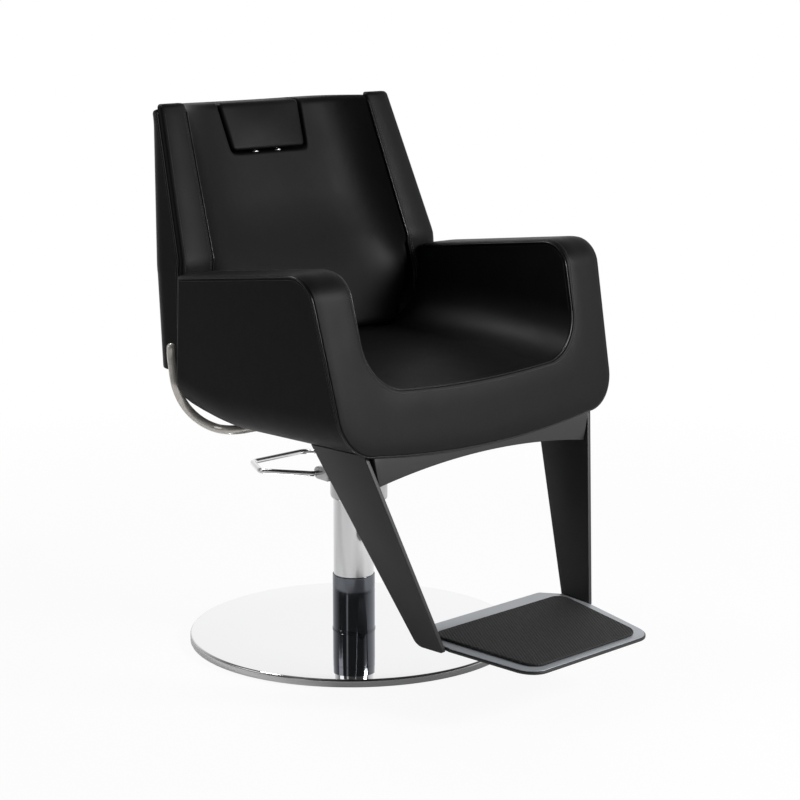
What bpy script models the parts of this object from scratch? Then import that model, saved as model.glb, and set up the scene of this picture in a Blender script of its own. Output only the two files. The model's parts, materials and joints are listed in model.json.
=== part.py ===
"""Barber chair, upright and at its lowest height.

Metres, Z up. The floor is Z = 0, the column stands on the Z axis, the sitter faces minus Y.
"""

import math

import bmesh
import bpy
from mathutils import Matrix, Vector

# Clearances
FIT = 0.0003
RUN = 0.0005
SOFT_GAP = 0.005

# Base
DISC_R = 0.300
DISC_H = 0.015
PAD_H = 0.003
COVER_T = 0.0015
COVER_ROUND = 0.004

# Column
TUBE_R = 0.0368
TUBE_WALL = 0.0023
SLEEVE_WALL = 0.0015
SLEEVE_H = 0.104
RAM_R = 0.0235
BUSH_WALL = 0.0024
FLANGE_H = 0.055
FLANGE_FLOOR = 0.007
BEARING_H = 0.0065
PISTON_H = 0.015
END_BUSH_H = 0.020
LIFT = 0.135
BOLT_R = 0.0025

# Pump head and pedal
HEAD_Z = 0.262
HEAD_H = 0.136
PEDAL_UP = 0.042
HEAD_R = 0.042
HEAD_NOSE = 0.062
HEAD_NOSE_HALF = 0.033
TUBE_IN_HEAD = 0.020
ROD_R = 0.005
PEDAL_HALF_FAR = 0.064
PEDAL_HALF_MID = 0.101
PEDAL_HALF_NEAR = 0.047
PEDAL_REACH = 0.150
PEDAL_PIVOT_Y = 0.056
LUG_X = 0.031
LUG_T = 0.010

# Seat frame
PLATE_T = 0.006
PLATE_HALF = 0.150
PLATE_FRONT = -0.160
PLATE_REAR = 0.100
RAIL_X = 0.120
RAIL_W = 0.030
RAIL_H = 0.030
RAIL_FRONT = -0.300
RAIL_REAR = 0.100
RISER_H = 0.0337
RISER_LENGTH = 0.250
BOARD_UP = 0.0347
SEAT_BOARD_T = 0.015
SEAT_BOARD_HALF = 0.192
SEAT_BOARD_REAR = 0.050

# Tub, heights above its underside
ARM_TOP = 0.2988
ARM_SLOPE = 0.112
FRONT_LEAN = 0.227
FRONT_Y = -0.267
REAR_Y = 0.0665
REAR_LEAN = 0.135
FRONT_ROUND = 0.054
REAR_LOW = 0.034
REAR_LOW_ROUND = 0.045
TUB_HALF = 0.350
TUB_LEAN = 0.070
TUB_ROUND = 0.070
FASCIA_T = 0.022
FASCIA_DROP = 0.017
PANEL_T = 0.012
SHELL_T = 0.015
SEAT_HALF = 0.266
SEAT_LEAN = 0.050
SEAT_ROUND = 0.090
SEAT_H = 0.0945
SEAT_RISE = 0.022
SEAT_SAG = 0.006
SIDE_SPLIT = 0.200

# Footrest
LEG_T = 0.008
LEG_LEAN = 0.280
LEG_TOP_GAP = 0.003
LEG_DROP = 0.330
LEG_HALF_LOW = 0.188
LEG_TOP_REAR = -0.196
LEG_TOP_FRONT = -0.322
LEG_LOW_REAR = -0.349
LEG_LOW_FRONT = -0.411
FOOTPLATE_T = 0.006
FOOTPLATE_UP = 0.0115
FOOTPLATE_FALL = 0.080
FOOTPLATE_LEVEL_Y = -0.384
FOOTPLATE_REAR = -0.318
FOOTPLATE_FRONT = -0.577
FOOTPLATE_HALF_REAR = 0.150
FOOTPLATE_HALF = 0.181
FOOTPLATE_HALF_FRONT = 0.152
FOOTPLATE_ROUND = 0.040
MAT_T = 0.005
MAT_REAR = -0.357
MAT_FRONT = -0.563
MAT_HALF_REAR = 0.166
MAT_HALF_FRONT = 0.132
ARCH_T = 0.008
ARCH_RISE = 0.021
CROSS_T = 0.008

# Back, heights above the tub's underside
BACK_SLOPE = 0.355
BACK_TOP = 0.537
BACK_LOW = 0.086
WING_FRONT = 0.191
WING_OUT_TOP = TUB_HALF - 0.075
WING_OUT_LOW = TUB_HALF - 0.040
WING_IN_TOP = WING_OUT_TOP - 0.056
WING_IN_LOW = WING_OUT_LOW - 0.071
WING_FLARE = 0.016
WING_CAP = 0.009
WING_CROWN = 0.004
SIDE_ROUND = 0.035
COVER_WALL = 0.010
CUSHION_DEPTH = 0.059
CUSHION_T = 0.042
CUSHION_LOW = 0.118
CUSHION_LOW_HALF = WING_IN_LOW + WING_FLARE - 0.009
CUSHION_LOW_ROUND = 0.100
LUMBAR = 0.022
BOARD_T = 0.010
BOARD_HALF = 0.70 * WING_IN_LOW
LID_FALL = 0.240

# Headrest
HEAD_HALF_TOP = 0.096
HEAD_HALF_LOW = 0.085
HEADREST_H = 0.085
HEADREST_BACK_GAP = 0.004
HEADREST_CROWN = 0.005
POST_X = 0.027
POST_R = 0.006
POST_LENGTH = 0.140
GUIDE_WALL = 0.003
POST_IN_PAD = 0.025

# Recline linkage
HINGE_Y = 0.150
HINGE_UP = 0.066
HINGE_PIN_R = 0.006
BRACKET_T = 0.006
CRANK_BACK = 0.0195
CRANK_DOWN = 0.062
CRANK_R = 0.008
ANCHOR_Y = -0.120
ANCHOR_UP = 0.026
GAS_R = 0.010
GAS_BODY = 0.151
GAS_ROD_R = 0.005
GAS_EYE_GAP = 0.0045

# Recline lever
LEVER_R = 0.008
LEVER_SIDE = TUB_HALF - 0.026
LEVER_BACK = 0.1042
LEVER_UP = 0.1392
LEVER_AXIS_Y = 0.0095
LEVER_BUSH = 0.028
LEVER_BUSH_LENGTH = 0.030

# Heights that follow from the stack of pieces
DISC_TOP = DISC_H
SLEEVE_Z = DISC_TOP + FIT
PLATE_Z = HEAD_Z + HEAD_H + FIT
RAIL_Z = PLATE_Z + PLATE_T + FIT
RISER_Z = RAIL_Z + RAIL_H + FIT
SEAT_BOARD_Z = RISER_Z + RISER_H + FIT
TUB_Z = SEAT_BOARD_Z - BOARD_UP
PEDAL_Z = HEAD_Z + PEDAL_UP
BOLT_RING = 0.5 * (RAM_R + BUSH_WALL + TUBE_R - TUBE_WALL)
HINGE_Z = TUB_Z + HINGE_UP
CRANK_Y = HINGE_Y + CRANK_BACK
CRANK_Z = HINGE_Z - CRANK_DOWN
ANCHOR_Z = PLATE_Z + PLATE_T + ANCHOR_UP
END_BUSH_Z = SLEEVE_Z + FLANGE_H + RUN
END_BUSH_TOP = END_BUSH_Z + END_BUSH_H
LEVER_AXIS_Z = TUB_Z - LEVER_R - 0.001
BACK_TOP_Z = TUB_Z + BACK_TOP
BACK_LOW_Z = TUB_Z + BACK_LOW
LEG_LOW_Z = TUB_Z - LEG_TOP_GAP - LEG_DROP
FOOTPLATE_TOP = LEG_LOW_Z + FOOTPLATE_UP
GUIDE_R = POST_R + RUN + GUIDE_WALL
SLIDE_DIR = Vector((0.0, BACK_SLOPE, 1.0)).normalized()

MATERIALS = {
    "leather": ((0.030, 0.030, 0.032), 0.45, 0.0),
    "chrome": ((0.80, 0.81, 0.82), 0.12, 1.0),
    "dark_chrome": ((0.20, 0.20, 0.21), 0.15, 1.0),
    "polished_steel": ((0.86, 0.86, 0.87), 0.08, 1.0),
    "grey_metal": ((0.62, 0.62, 0.63), 0.35, 1.0),
    "black_paint": ((0.022, 0.022, 0.024), 0.42, 0.0),
    "satin_steel": ((0.42, 0.44, 0.47), 0.35, 1.0),
    "rubber": ((0.020, 0.020, 0.020), 0.75, 0.0),
    "bare_steel": ((0.45, 0.45, 0.46), 0.40, 1.0),
    "bronze": ((0.55, 0.38, 0.20), 0.40, 1.0),
    "plywood": ((0.52, 0.38, 0.24), 0.70, 0.0),
}


def material(kind, name):
    """One Principled material for one piece."""
    colour, roughness, metallic = MATERIALS[kind]
    made = bpy.data.materials.new(name)
    made.use_nodes = True
    shader = made.node_tree.nodes["Principled BSDF"]
    shader.inputs["Base Color"].default_value = (*colour, 1.0)
    shader.inputs["Roughness"].default_value = roughness
    shader.inputs["Metallic"].default_value = metallic
    return made


def finish(name, kind, bm):
    """Turn a bmesh into a named object with its material."""
    bmesh.ops.remove_doubles(bm, verts=bm.verts, dist=1e-6)
    bmesh.ops.recalc_face_normals(bm, faces=bm.faces)
    mesh = bpy.data.meshes.new(name)
    bm.to_mesh(mesh)
    bm.free()
    made = bpy.data.objects.new(name, mesh)
    bpy.context.collection.objects.link(made)
    if kind:
        mesh.materials.append(material(kind, name))
    else:
        made.hide_render = True
        made.display_type = "WIRE"
    return made


def rounded(corners, steps=5):
    """Outline through corners (a, b, radius), each radius drawn as an arc."""
    points = []
    count = len(corners)
    for i, (a, b, radius) in enumerate(corners):
        here = Vector((a, b))
        if radius <= 0.0:
            points.append(here)
            continue
        before = (Vector(corners[i - 1][:2]) - here).normalized()
        after = (Vector(corners[(i + 1) % count][:2]) - here).normalized()
        half = 0.5 * before.angle(after)
        reach = radius / math.tan(half)
        centre = here + (before + after).normalized() * (radius / math.sin(half))
        start = here + before * reach - centre
        turn = start.angle_signed(here + after * reach - centre)
        for step in range(steps + 1):
            points.append(centre + Matrix.Rotation(-turn * step / steps, 2) @ start)
    return [(p.x, p.y) for p in points]


def place(axis, a, b, along):
    """Point of an outline (a, b) set at a distance along an axis."""
    if axis == "X":
        return Vector((along, a, b))
    if axis == "Y":
        return Vector((a, along, b))
    return Vector((a, b, along))


def prism(name, kind, outline, axis, low, high):
    """Solid with one outline from low to high along an axis."""
    bm = bmesh.new()
    face = bm.faces.new([bm.verts.new(place(axis, a, b, low)) for a, b in outline])
    grown = bmesh.ops.extrude_face_region(bm, geom=[face])
    moved = [v for v in grown["geom"] if isinstance(v, bmesh.types.BMVert)]
    bmesh.ops.translate(bm, verts=moved, vec=place(axis, 0.0, 0.0, high - low))
    return finish(name, kind, bm)


def box(name, kind, low, high):
    """Block between two corners."""
    outline = [(low[0], low[1]), (high[0], low[1]), (high[0], high[1]), (low[0], high[1])]
    return prism(name, kind, outline, "Z", low[2], high[2])


def turned(name, kind, profile, steps=40):
    """Solid of revolution about Z from a closed profile of (radius, height)."""
    bm = bmesh.new()
    verts = [bm.verts.new((r, 0.0, z)) for r, z in profile]
    edges = [bm.edges.new((verts[i - 1], verts[i])) for i in range(len(verts))]
    bmesh.ops.spin(bm, geom=verts + edges, cent=(0, 0, 0), axis=(0, 0, 1), angle=math.tau, steps=steps)
    bmesh.ops.remove_doubles(bm, verts=bm.verts, dist=1e-6)
    bmesh.ops.dissolve_degenerate(bm, edges=bm.edges, dist=1e-7)
    return finish(name, kind, bm)


def loft(name, kind, rings):
    """Solid through rings with the same number of points, closed at both ends."""
    bm = bmesh.new()
    rows = [[bm.verts.new(p) for p in ring] for ring in rings]
    count = len(rows[0])
    for lower, upper in zip(rows, rows[1:]):
        for i in range(count):
            bm.faces.new((lower[i - 1], lower[i], upper[i]))
            bm.faces.new((lower[i - 1], upper[i], upper[i - 1]))
    bm.faces.new(rows[0][::-1])
    bm.faces.new(rows[-1])
    return finish(name, kind, bm)


def bar(name, kind, start, end, radius, sides=20):
    """Round bar between two points."""
    start = Vector(start)
    along = Vector(end) - start
    turn = along.to_track_quat("Z", "Y").to_matrix()
    rings = []
    for step in (0.0, 1.0):
        ring = []
        for i in range(sides):
            angle = math.tau * i / sides
            ring.append(start + along * step
                + turn @ Vector((radius * math.cos(angle), radius * math.sin(angle), 0)))
        rings.append(ring)
    return loft(name, kind, rings)


def pipe(name, kind, points, radius, sides=10, closed=False, dome=0):
    """Rod of one radius along points, with dome rings at its open ends."""
    points = [Vector(p) for p in points]
    count = len(points)
    stations = []
    for i, point in enumerate(points):
        last = points[i - 1] if closed or i else point
        following = points[(i + 1) % count] if closed or i < count - 1 else point
        stations.append((point, (following - last).normalized(), radius))
    if dome:
        first, last = stations[0], stations[-1]
        for step in range(1, dome + 1):
            angle = 0.5 * math.pi * step / (dome + 0.4)
            ahead = radius * math.sin(angle)
            size = radius * math.cos(angle)
            stations.insert(0, (first[0] - first[1] * ahead, first[1], size))
            stations.append((last[0] + last[1] * ahead, last[1], size))
    rings = []
    side = stations[0][1].orthogonal()
    turns = [math.tau * i / sides for i in range(sides)]
    for point, along, size in stations:
        side = (side - along * side.dot(along)).normalized()
        other = along.cross(side)
        rings.append([point + size * (side * math.cos(t) + other * math.sin(t)) for t in turns])
    if not closed:
        return loft(name, kind, rings)
    bm = bmesh.new()
    rows = [[bm.verts.new(p) for p in ring] for ring in rings]
    for k, row in enumerate(rows):
        for i in range(sides):
            bm.faces.new((rows[k - 1][i - 1], rows[k - 1][i], row[i], row[i - 1]))
    return finish(name, kind, bm)


def combine(made, other, operation):
    """Boolean with another object, which is hidden as a cutter."""
    change = made.modifiers.new(operation.lower(), "BOOLEAN")
    change.object = other
    change.operation = operation
    change.solver = "EXACT"
    return made


def cut(made, other):
    return combine(made, other, "DIFFERENCE")


def keep(made, other):
    return combine(made, other, "INTERSECT")


def join(made, other):
    return combine(made, other, "UNION")


def joint_empty(name, position):
    """Empty on a joint's axis that carries the moving pieces."""
    made = bpy.data.objects.new(name, None)
    bpy.context.collection.objects.link(made)
    made.location = position
    made.empty_display_size = 0.05
    return made


def carry(empty, *pieces):
    """Give pieces drawn in the chair's frame their origin on a joint's axis."""
    for piece in pieces:
        piece.data.transform(Matrix.Translation(-empty.location))
        piece.parent = empty


# Base: pad, weight, cover and the parts that hold the ram
def bolt_places():
    angles = [math.tau * i / 3 + 0.5 for i in range(3)]
    return [(BOLT_RING * math.cos(t), BOLT_RING * math.sin(t)) for t in angles]


def base_disc():
    inside = DISC_R - COVER_T
    weight_top = DISC_TOP - COVER_T - FIT
    turned("base_pad", "rubber", [(0, 0), (inside - 0.004, 0), (inside - 0.004, PAD_H), (0, PAD_H)], 64)
    edge = inside - FIT - COVER_ROUND
    weight = turned("base_weight_plate", "bare_steel", [
        (0, PAD_H + FIT), (edge, PAD_H + FIT), (edge, weight_top), (0, weight_top)], 64)
    rim = []
    for step in range(4):
        angle = 0.5 * math.pi * step / 3
        rim.append((DISC_R - COVER_ROUND * (1 - math.cos(angle)),
            DISC_TOP - COVER_ROUND * (1 - math.sin(angle))))
    low = PAD_H * 0.5
    cover = turned("base_cover", "polished_steel", [
        (0, DISC_TOP - COVER_T), (DISC_R - COVER_ROUND, DISC_TOP - COVER_T),
        (inside, DISC_TOP - COVER_ROUND), (inside, low), (DISC_R, low), *rim, (0, DISC_TOP)], 96)
    for i, (x, y) in enumerate(bolt_places()):
        head_z = PAD_H + 2 * FIT
        bolt = turned(f"flange_bolt_{i + 1}", "bare_steel", [
            (0, head_z), (2 * BOLT_R, head_z), (2 * BOLT_R, head_z + BOLT_R),
            (BOLT_R, head_z + BOLT_R), (BOLT_R, DISC_TOP + FLANGE_FLOOR), (0, DISC_TOP + FLANGE_FLOOR)], 12)
        bolt.location = (x, y, 0)
        hole = bar(f"cut_flange_bolt_{i + 1}", None, (x, y, 0.0), (x, y, DISC_TOP + FLANGE_FLOOR + FIT),
            BOLT_R + FIT, 12)
        sunk = bar(f"cut_flange_head_{i + 1}", None, (x, y, 0.0), (x, y, head_z + BOLT_R + FIT),
            2 * BOLT_R + FIT, 12)
        cut(cut(weight, hole), sunk)
        cut(cover, hole)


def column_foot():
    inner = TUBE_R + RUN
    outer = inner + SLEEVE_WALL
    top = SLEEVE_Z + SLEEVE_H
    groove = SLEEVE_Z + 0.70 * SLEEVE_H
    turned("column_sleeve", "dark_chrome", [
        (inner, SLEEVE_Z), (outer + 0.0008, SLEEVE_Z), (outer + 0.0008, SLEEVE_Z + 0.002),
            (outer, SLEEVE_Z + 0.003),
        (outer, groove), (outer - 0.0007, groove + 0.0007), (outer - 0.0007, groove + 0.0023),
            (outer, groove + 0.003),
        (outer, top - 0.001), (outer - 0.001, top), (inner, top)], 48)
    bore = RAM_R + FIT + BUSH_WALL + FIT
    wall = TUBE_R - TUBE_WALL - FIT
    floor = SLEEVE_Z + FLANGE_FLOOR
    flange_top = SLEEVE_Z + FLANGE_H
    flange = turned("base_flange", "bare_steel", [
        (0, SLEEVE_Z), (wall, SLEEVE_Z), (wall, flange_top), (bore, flange_top), (bore, floor), (0, floor)],
            40)
    for i in range(3):
        cut(flange, bpy.data.objects[f"cut_flange_bolt_{i + 1}"])
    ring = floor + FIT
    turned("thrust_bearing", "bare_steel", [
        (0.008, ring), (bore - FIT, ring), (bore - FIT, ring + BEARING_H), (0.008, ring + BEARING_H)], 32)
    bush = ring + BEARING_H + FIT
    turned("swivel_bush", "bronze", [
        (RAM_R + FIT, bush), (bore - FIT, bush), (bore - FIT, flange_top), (RAM_R + FIT, flange_top)], 40)


def ram():
    foot = SLEEVE_Z + FLANGE_FLOOR + FIT + BEARING_H + FIT
    top = END_BUSH_TOP + LIFT + 0.010
    rod = turned("ram_rod", "chrome", [(0, foot), (RAM_R, foot), (RAM_R, top), (0, top)], 40)
    wide = TUBE_R - TUBE_WALL - FIT
    piston = turned("ram_piston", "bronze", [
        (0, top + FIT), (wide, top + FIT), (wide, top + FIT + PISTON_H), (0, top + FIT + PISTON_H)], 40)
    carry(swivel, rod, piston)


# Lifting column and pump
def column_tube():
    inner = TUBE_R - TUBE_WALL
    low = SLEEVE_Z + 0.005
    top = HEAD_Z + TUBE_IN_HEAD
    tube = turned("column_tube", "chrome", [(inner, low), (TUBE_R, low), (TUBE_R, top), (inner, top)], 48)
    bush = turned("tube_end_bush", "bronze", [
        (RAM_R + FIT, END_BUSH_Z), (inner - FIT, END_BUSH_Z), (inner - FIT, END_BUSH_TOP),
            (RAM_R + FIT, END_BUSH_TOP)], 40)
    carry(lift, tube, bush)


def pump_head():
    start = -math.acos(HEAD_NOSE_HALF / HEAD_R)
    sweep = math.pi - 2 * start
    outline = []
    for step in range(25):
        angle = start + sweep * step / 24
        outline.append((HEAD_R * math.cos(angle), HEAD_R * math.sin(angle), 0.0))
    outline += [(-HEAD_NOSE_HALF, -HEAD_NOSE, 0.012), (HEAD_NOSE_HALF, -HEAD_NOSE, 0.012)]
    flat = rounded(outline, 4)
    rings = []
    for shrink, z in ((0.88, HEAD_Z), (0.965, HEAD_Z + 0.0025), (1.0, HEAD_Z + 0.008),
            (1.0, HEAD_Z + HEAD_H)):
        rings.append([Vector((a * shrink, b * shrink, z)) for a, b in flat])
    head = loft("pump_head", "grey_metal", rings)
    lug = rounded([
        (HEAD_R - 0.012, PEDAL_Z - 0.013, 0), (PEDAL_PIVOT_Y + 0.011, PEDAL_Z - 0.011, 0.0105),
        (PEDAL_PIVOT_Y + 0.011, PEDAL_Z + 0.011, 0.0105), (HEAD_R - 0.012, PEDAL_Z + 0.013, 0)], 4)
    for side, tag in ((-1, "right"), (1, "left")):
        middle = side * LUG_X
        join(head, prism(f"cut_lug_{tag}", None, lug, "X", middle - 0.5 * LUG_T, middle + 0.5 * LUG_T))
    cut(head, bar("cut_head_bore", None, (0, 0, HEAD_Z - 0.01), (0, 0, HEAD_Z + TUBE_IN_HEAD + FIT),
        TUBE_R + FIT, 48))
    reach = LUG_X + LUG_T
    cut(head, bar("cut_lug_bore", None, (-reach, PEDAL_PIVOT_Y, PEDAL_Z), (reach, PEDAL_PIVOT_Y, PEDAL_Z),
        ROD_R + FIT, 16))
    half = LUG_X - 0.5 * LUG_T - 2 * FIT
    spring = bar("pedal_spring", "bare_steel", (-half, PEDAL_PIVOT_Y, PEDAL_Z),
        (half, PEDAL_PIVOT_Y, PEDAL_Z), 1.7 * ROD_R, 16)
    cut(spring, bar("cut_pedal_spring", None, (-1, PEDAL_PIVOT_Y, PEDAL_Z), (1, PEDAL_PIVOT_Y, PEDAL_Z),
        ROD_R + FIT, 16))
    carry(lift, head, spring)


def pump_pedal():
    near = PEDAL_PIVOT_Y
    far = near + PEDAL_REACH
    middle = near + 0.56 * PEDAL_REACH
    flat = rounded([
        (-PEDAL_HALF_NEAR, near, 0.008), (-PEDAL_HALF_MID, middle, 0.016), (-PEDAL_HALF_FAR, far, 0.018),
        (PEDAL_HALF_FAR, far, 0.018), (PEDAL_HALF_MID, middle, 0.016), (PEDAL_HALF_NEAR, near, 0.008)], 4)
    loop = pipe("pump_pedal", "chrome", [(a, b, PEDAL_Z) for a, b in flat], ROD_R, 10, closed=True)
    carry(pedal, loop)


# Steel frame under the seat
def seat_frame():
    flat = rounded([
        (-PLATE_HALF, PLATE_FRONT, 0.02), (PLATE_HALF, PLATE_FRONT, 0.02),
        (PLATE_HALF, PLATE_REAR, 0.02), (-PLATE_HALF, PLATE_REAR, 0.02)], 3)
    carry(lift, prism("seat_mount_plate", "black_paint", flat, "Z", PLATE_Z, PLATE_Z + PLATE_T))
    for side, tag in ((-1, "right"), (1, "left")):
        low = side * RAIL_X - 0.5 * RAIL_W
        high = side * RAIL_X + 0.5 * RAIL_W
        rail = box(f"rail_{tag}", "black_paint", (low, RAIL_FRONT, RAIL_Z),
            (high, RAIL_REAR, RAIL_Z + RAIL_H))
        riser = box(f"riser_{tag}", "plywood", (low, RAIL_FRONT + 0.03, RISER_Z),
            (high, RAIL_FRONT + 0.03 + RISER_LENGTH, RISER_Z + RISER_H))
        carry(lift, rail, riser)


# Tub seat
def front_y(z):
    return FRONT_Y - FRONT_LEAN * (TUB_Z + ARM_TOP - z)


def rear_y(z):
    return REAR_Y + REAR_LEAN * (TUB_Z + ARM_TOP + ARM_SLOPE * FRONT_Y - z)


def arm_top(y):
    return TUB_Z + ARM_TOP - ARM_SLOPE * (y - FRONT_Y)


def tub_section(half_top, lean, radius, floor, sag, steps=6, flats=8):
    """Open-topped U across the chair as (x, z), with rounded lower corners and a dipped floor."""
    top = TUB_Z + ARM_TOP + 0.08
    side = half_top - lean * (TUB_Z + ARM_TOP - floor - radius)
    centre = side - radius
    right = [(half_top + lean * 0.08, top)]
    for step in range(steps + 1):
        angle = 0.5 * math.pi * step / steps
        right.append((centre + radius * math.cos(angle), floor + radius - radius * math.sin(angle)))
    for step in range(1, flats // 2):
        share = 1 - 2 * step / flats
        right.append((centre * share, floor - sag * (1 - share * share)))
    left = [(-x, z) for x, z in right[::-1]]
    return right + [(0.0, floor - sag)] + left


def tub_loft(name, half_top, lean, radius, floors):
    """Cutter made of sections along the chair, given as (y, floor height, floor dip)."""
    rings = []
    for y, floor, sag in floors:
        rings.append([Vector((x, y, z)) for x, z in tub_section(half_top, lean, radius, floor, sag)])
    return loft(name, None, rings)


def body_outside(name, inset):
    floors = []
    for y, rise in ((-0.45, 0.0), (-0.05, 0.0), (0.0, 0.003), (0.05, 0.011), (0.13, 0.040)):
        floors.append((y, TUB_Z + rise + inset, 0.0))
    return tub_loft(name, TUB_HALF - inset, TUB_LEAN, TUB_ROUND - inset, floors)


def side_outline(drop, rear_gap):
    """Side view behind the rim band, a distance below its front and top faces."""
    low = TUB_Z - 0.03
    top_front = front_y(TUB_Z + ARM_TOP) + drop
    lean = drop * math.hypot(1, FRONT_LEAN)
    fall = drop * math.hypot(1, ARM_SLOPE)
    rear = rear_y(arm_top(REAR_Y)) - rear_gap
    return [
        (front_y(low) + lean, low, 0.0),
        (front_y(arm_top(top_front)) + lean + 0.003, arm_top(top_front) - fall,
            max(FRONT_ROUND - drop, 0.002)),
        (rear, arm_top(rear) - fall, 0.0),
        (rear_y(TUB_Z + REAR_LOW) - rear_gap, TUB_Z + REAR_LOW, REAR_LOW_ROUND),
        (-0.020, TUB_Z - 0.004, 0.0)]


def rim_band():
    low = TUB_Z - 0.03
    lean = FASCIA_T * math.hypot(1, FRONT_LEAN)
    fall = FASCIA_T * math.hypot(1, ARM_SLOPE)
    inner_y = FRONT_Y + FASCIA_T
    rear = rear_y(arm_top(REAR_Y))
    outline = rounded([
        (front_y(low), low, 0.0), (front_y(low) + lean, low, 0.0),
        (front_y(arm_top(inner_y)) + lean + 0.003, arm_top(inner_y) - fall, FRONT_ROUND - FASCIA_T),
        (rear, arm_top(rear) - fall, 0.0),
        (rear, arm_top(rear), 0.5 * FASCIA_T),
        (FRONT_Y, TUB_Z + ARM_TOP, FRONT_ROUND)], 6)
    band = prism("rim_band", "leather", outline, "X", -TUB_HALF - 0.05, TUB_HALF + 0.05)
    floors = [(y, TUB_Z, FASCIA_DROP) for y in (-0.45, 0.13)]
    keep(band, tub_loft("cut_band_outside", TUB_HALF, TUB_LEAN, TUB_ROUND, floors))
    cut(band, bpy.data.objects["cut_seat_space"])
    return band


def tub():
    floor = TUB_Z + SEAT_H
    tub_loft("cut_seat_space", SEAT_HALF, SEAT_LEAN, SEAT_ROUND, [
        (-0.45, floor, SEAT_SAG), (-0.30, floor, SEAT_SAG), (-0.22, floor + 0.3 * SEAT_RISE, 0.0),
        (-0.05, floor + 0.75 * SEAT_RISE, -0.4 * SEAT_SAG), (0.13, floor + SEAT_RISE, 0.0)])
    outside = body_outside("cut_tub_outside", 0.0)
    panel_in = body_outside("cut_panel_inside", PANEL_T)
    core_out = body_outside("cut_core_outside", PANEL_T + FIT)
    core_in = body_outside("cut_core_inside", PANEL_T + SHELL_T)
    liner_out = body_outside("cut_liner_outside", PANEL_T + SHELL_T + FIT)
    flat = rounded(side_outline(FASCIA_T + FIT, 0.0), 8)
    wide = TUB_HALF + 0.05
    core_flat = rounded(side_outline(FASCIA_T + FIT, 0.004), 8)
    for tag, low, high in (("right", -wide, -SIDE_SPLIT), ("left", SIDE_SPLIT, wide)):
        panel = prism(f"side_panel_{tag}", "leather", flat, "X", low, high)
        core = prism(f"arm_core_{tag}", "plywood", core_flat, "X", low, high)
        carry(lift, cut(keep(panel, outside), panel_in), cut(keep(core, core_out), core_in))
    front = front_y(SEAT_BOARD_Z) + FASCIA_T + 0.012
    top = SEAT_BOARD_Z + SEAT_BOARD_T
    half = SEAT_BOARD_HALF
    board = box("seat_board", "plywood", (-half, front, SEAT_BOARD_Z), (half, SEAT_BOARD_REAR, top))
    recess = box("cut_recess", None, (-half - FIT, -0.5, TUB_Z - 0.1), (half + FIT, 0.5, top + FIT))
    liner = prism("seat_liner", "leather", flat, "X", -wide, wide)
    cut(keep(liner, liner_out), bpy.data.objects["cut_seat_space"])
    cut(liner, recess)
    carry(lift, board, liner, rim_band())


# Footrest
def leg_outer(z):
    return LEG_HALF_LOW + LEG_LEAN * (z - (TUB_Z - LEG_TOP_GAP - LEG_DROP))


def leg_inner(z):
    return leg_outer(z) - LEG_T * math.hypot(1, LEG_LEAN)


def footrest_legs():
    top = TUB_Z - LEG_TOP_GAP
    flat = rounded([
        (LEG_TOP_REAR, top, 0.0), (LEG_LOW_REAR, LEG_LOW_Z, 0.020),
        (LEG_LOW_FRONT, LEG_LOW_Z, 0.006), (LEG_TOP_FRONT, top, 0.0)], 4)
    for side, tag in ((-1, "right"), (1, "left")):
        leg = prism(f"footrest_leg_{tag}", "black_paint", flat, "X", 0.0, 1.0)
        for vert in leg.data.vertices:
            vert.co.x = side * (leg_outer(vert.co.z) if vert.co.x > 0.5 else leg_inner(vert.co.z))
        if side < 0:
            leg.data.flip_normals()
        carry(lift, leg)


def plate_drop(y):
    """How far the footplate has fallen towards the front."""
    return FOOTPLATE_FALL * (FOOTPLATE_LEVEL_Y - y)


def both_sides(corners):
    """Outline closed by the same corners on the other side."""
    return corners + [(-x, y, radius) for x, y, radius in corners[::-1]]


def footrest_plate():
    low = FOOTPLATE_TOP - FOOTPLATE_T
    wide = leg_inner(low - plate_drop(LEG_LOW_FRONT)) - FIT
    ahead = LEG_LOW_FRONT - 0.001
    flat = rounded(both_sides([
        (FOOTPLATE_HALF_FRONT, FOOTPLATE_FRONT, FOOTPLATE_ROUND), (FOOTPLATE_HALF, ahead - 0.005, 0.003),
        (wide, ahead, 0.003), (wide, LEG_LOW_REAR, 0.010), (FOOTPLATE_HALF_REAR, FOOTPLATE_REAR, 0.010)]),
            5)
    plate = prism("footplate", "satin_steel", flat, "Z", low, FOOTPLATE_TOP)
    mat_flat = rounded(both_sides([
        (MAT_HALF_FRONT, MAT_FRONT, 0.030), (MAT_HALF_REAR, MAT_REAR, 0.022)]), 5)
    base = FOOTPLATE_TOP + FIT
    mat = prism("foot_mat", "rubber", mat_flat, "Z", base, base + MAT_T)
    for made in (plate, mat):
        for vert in made.data.vertices:
            vert.co.z -= plate_drop(vert.co.y)
    carry(lift, plate, mat)


def arch_panel():
    low = TUB_Z - 0.054
    top = TUB_Z - FASCIA_DROP - 0.004
    outline = [(-leg_inner(top) + FIT, top), (leg_inner(top) - FIT, top)]
    half = leg_inner(low) - FIT
    for step in range(17):
        x = half * (1 - step / 8)
        outline.append((x, low + ARCH_RISE * (1 - (x / half) ** 2)))
    rear = front_y(low) + FASCIA_T + 0.004
    carry(lift, prism("arch_panel", "black_paint", outline, "Y", rear - ARCH_T, rear))


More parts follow.
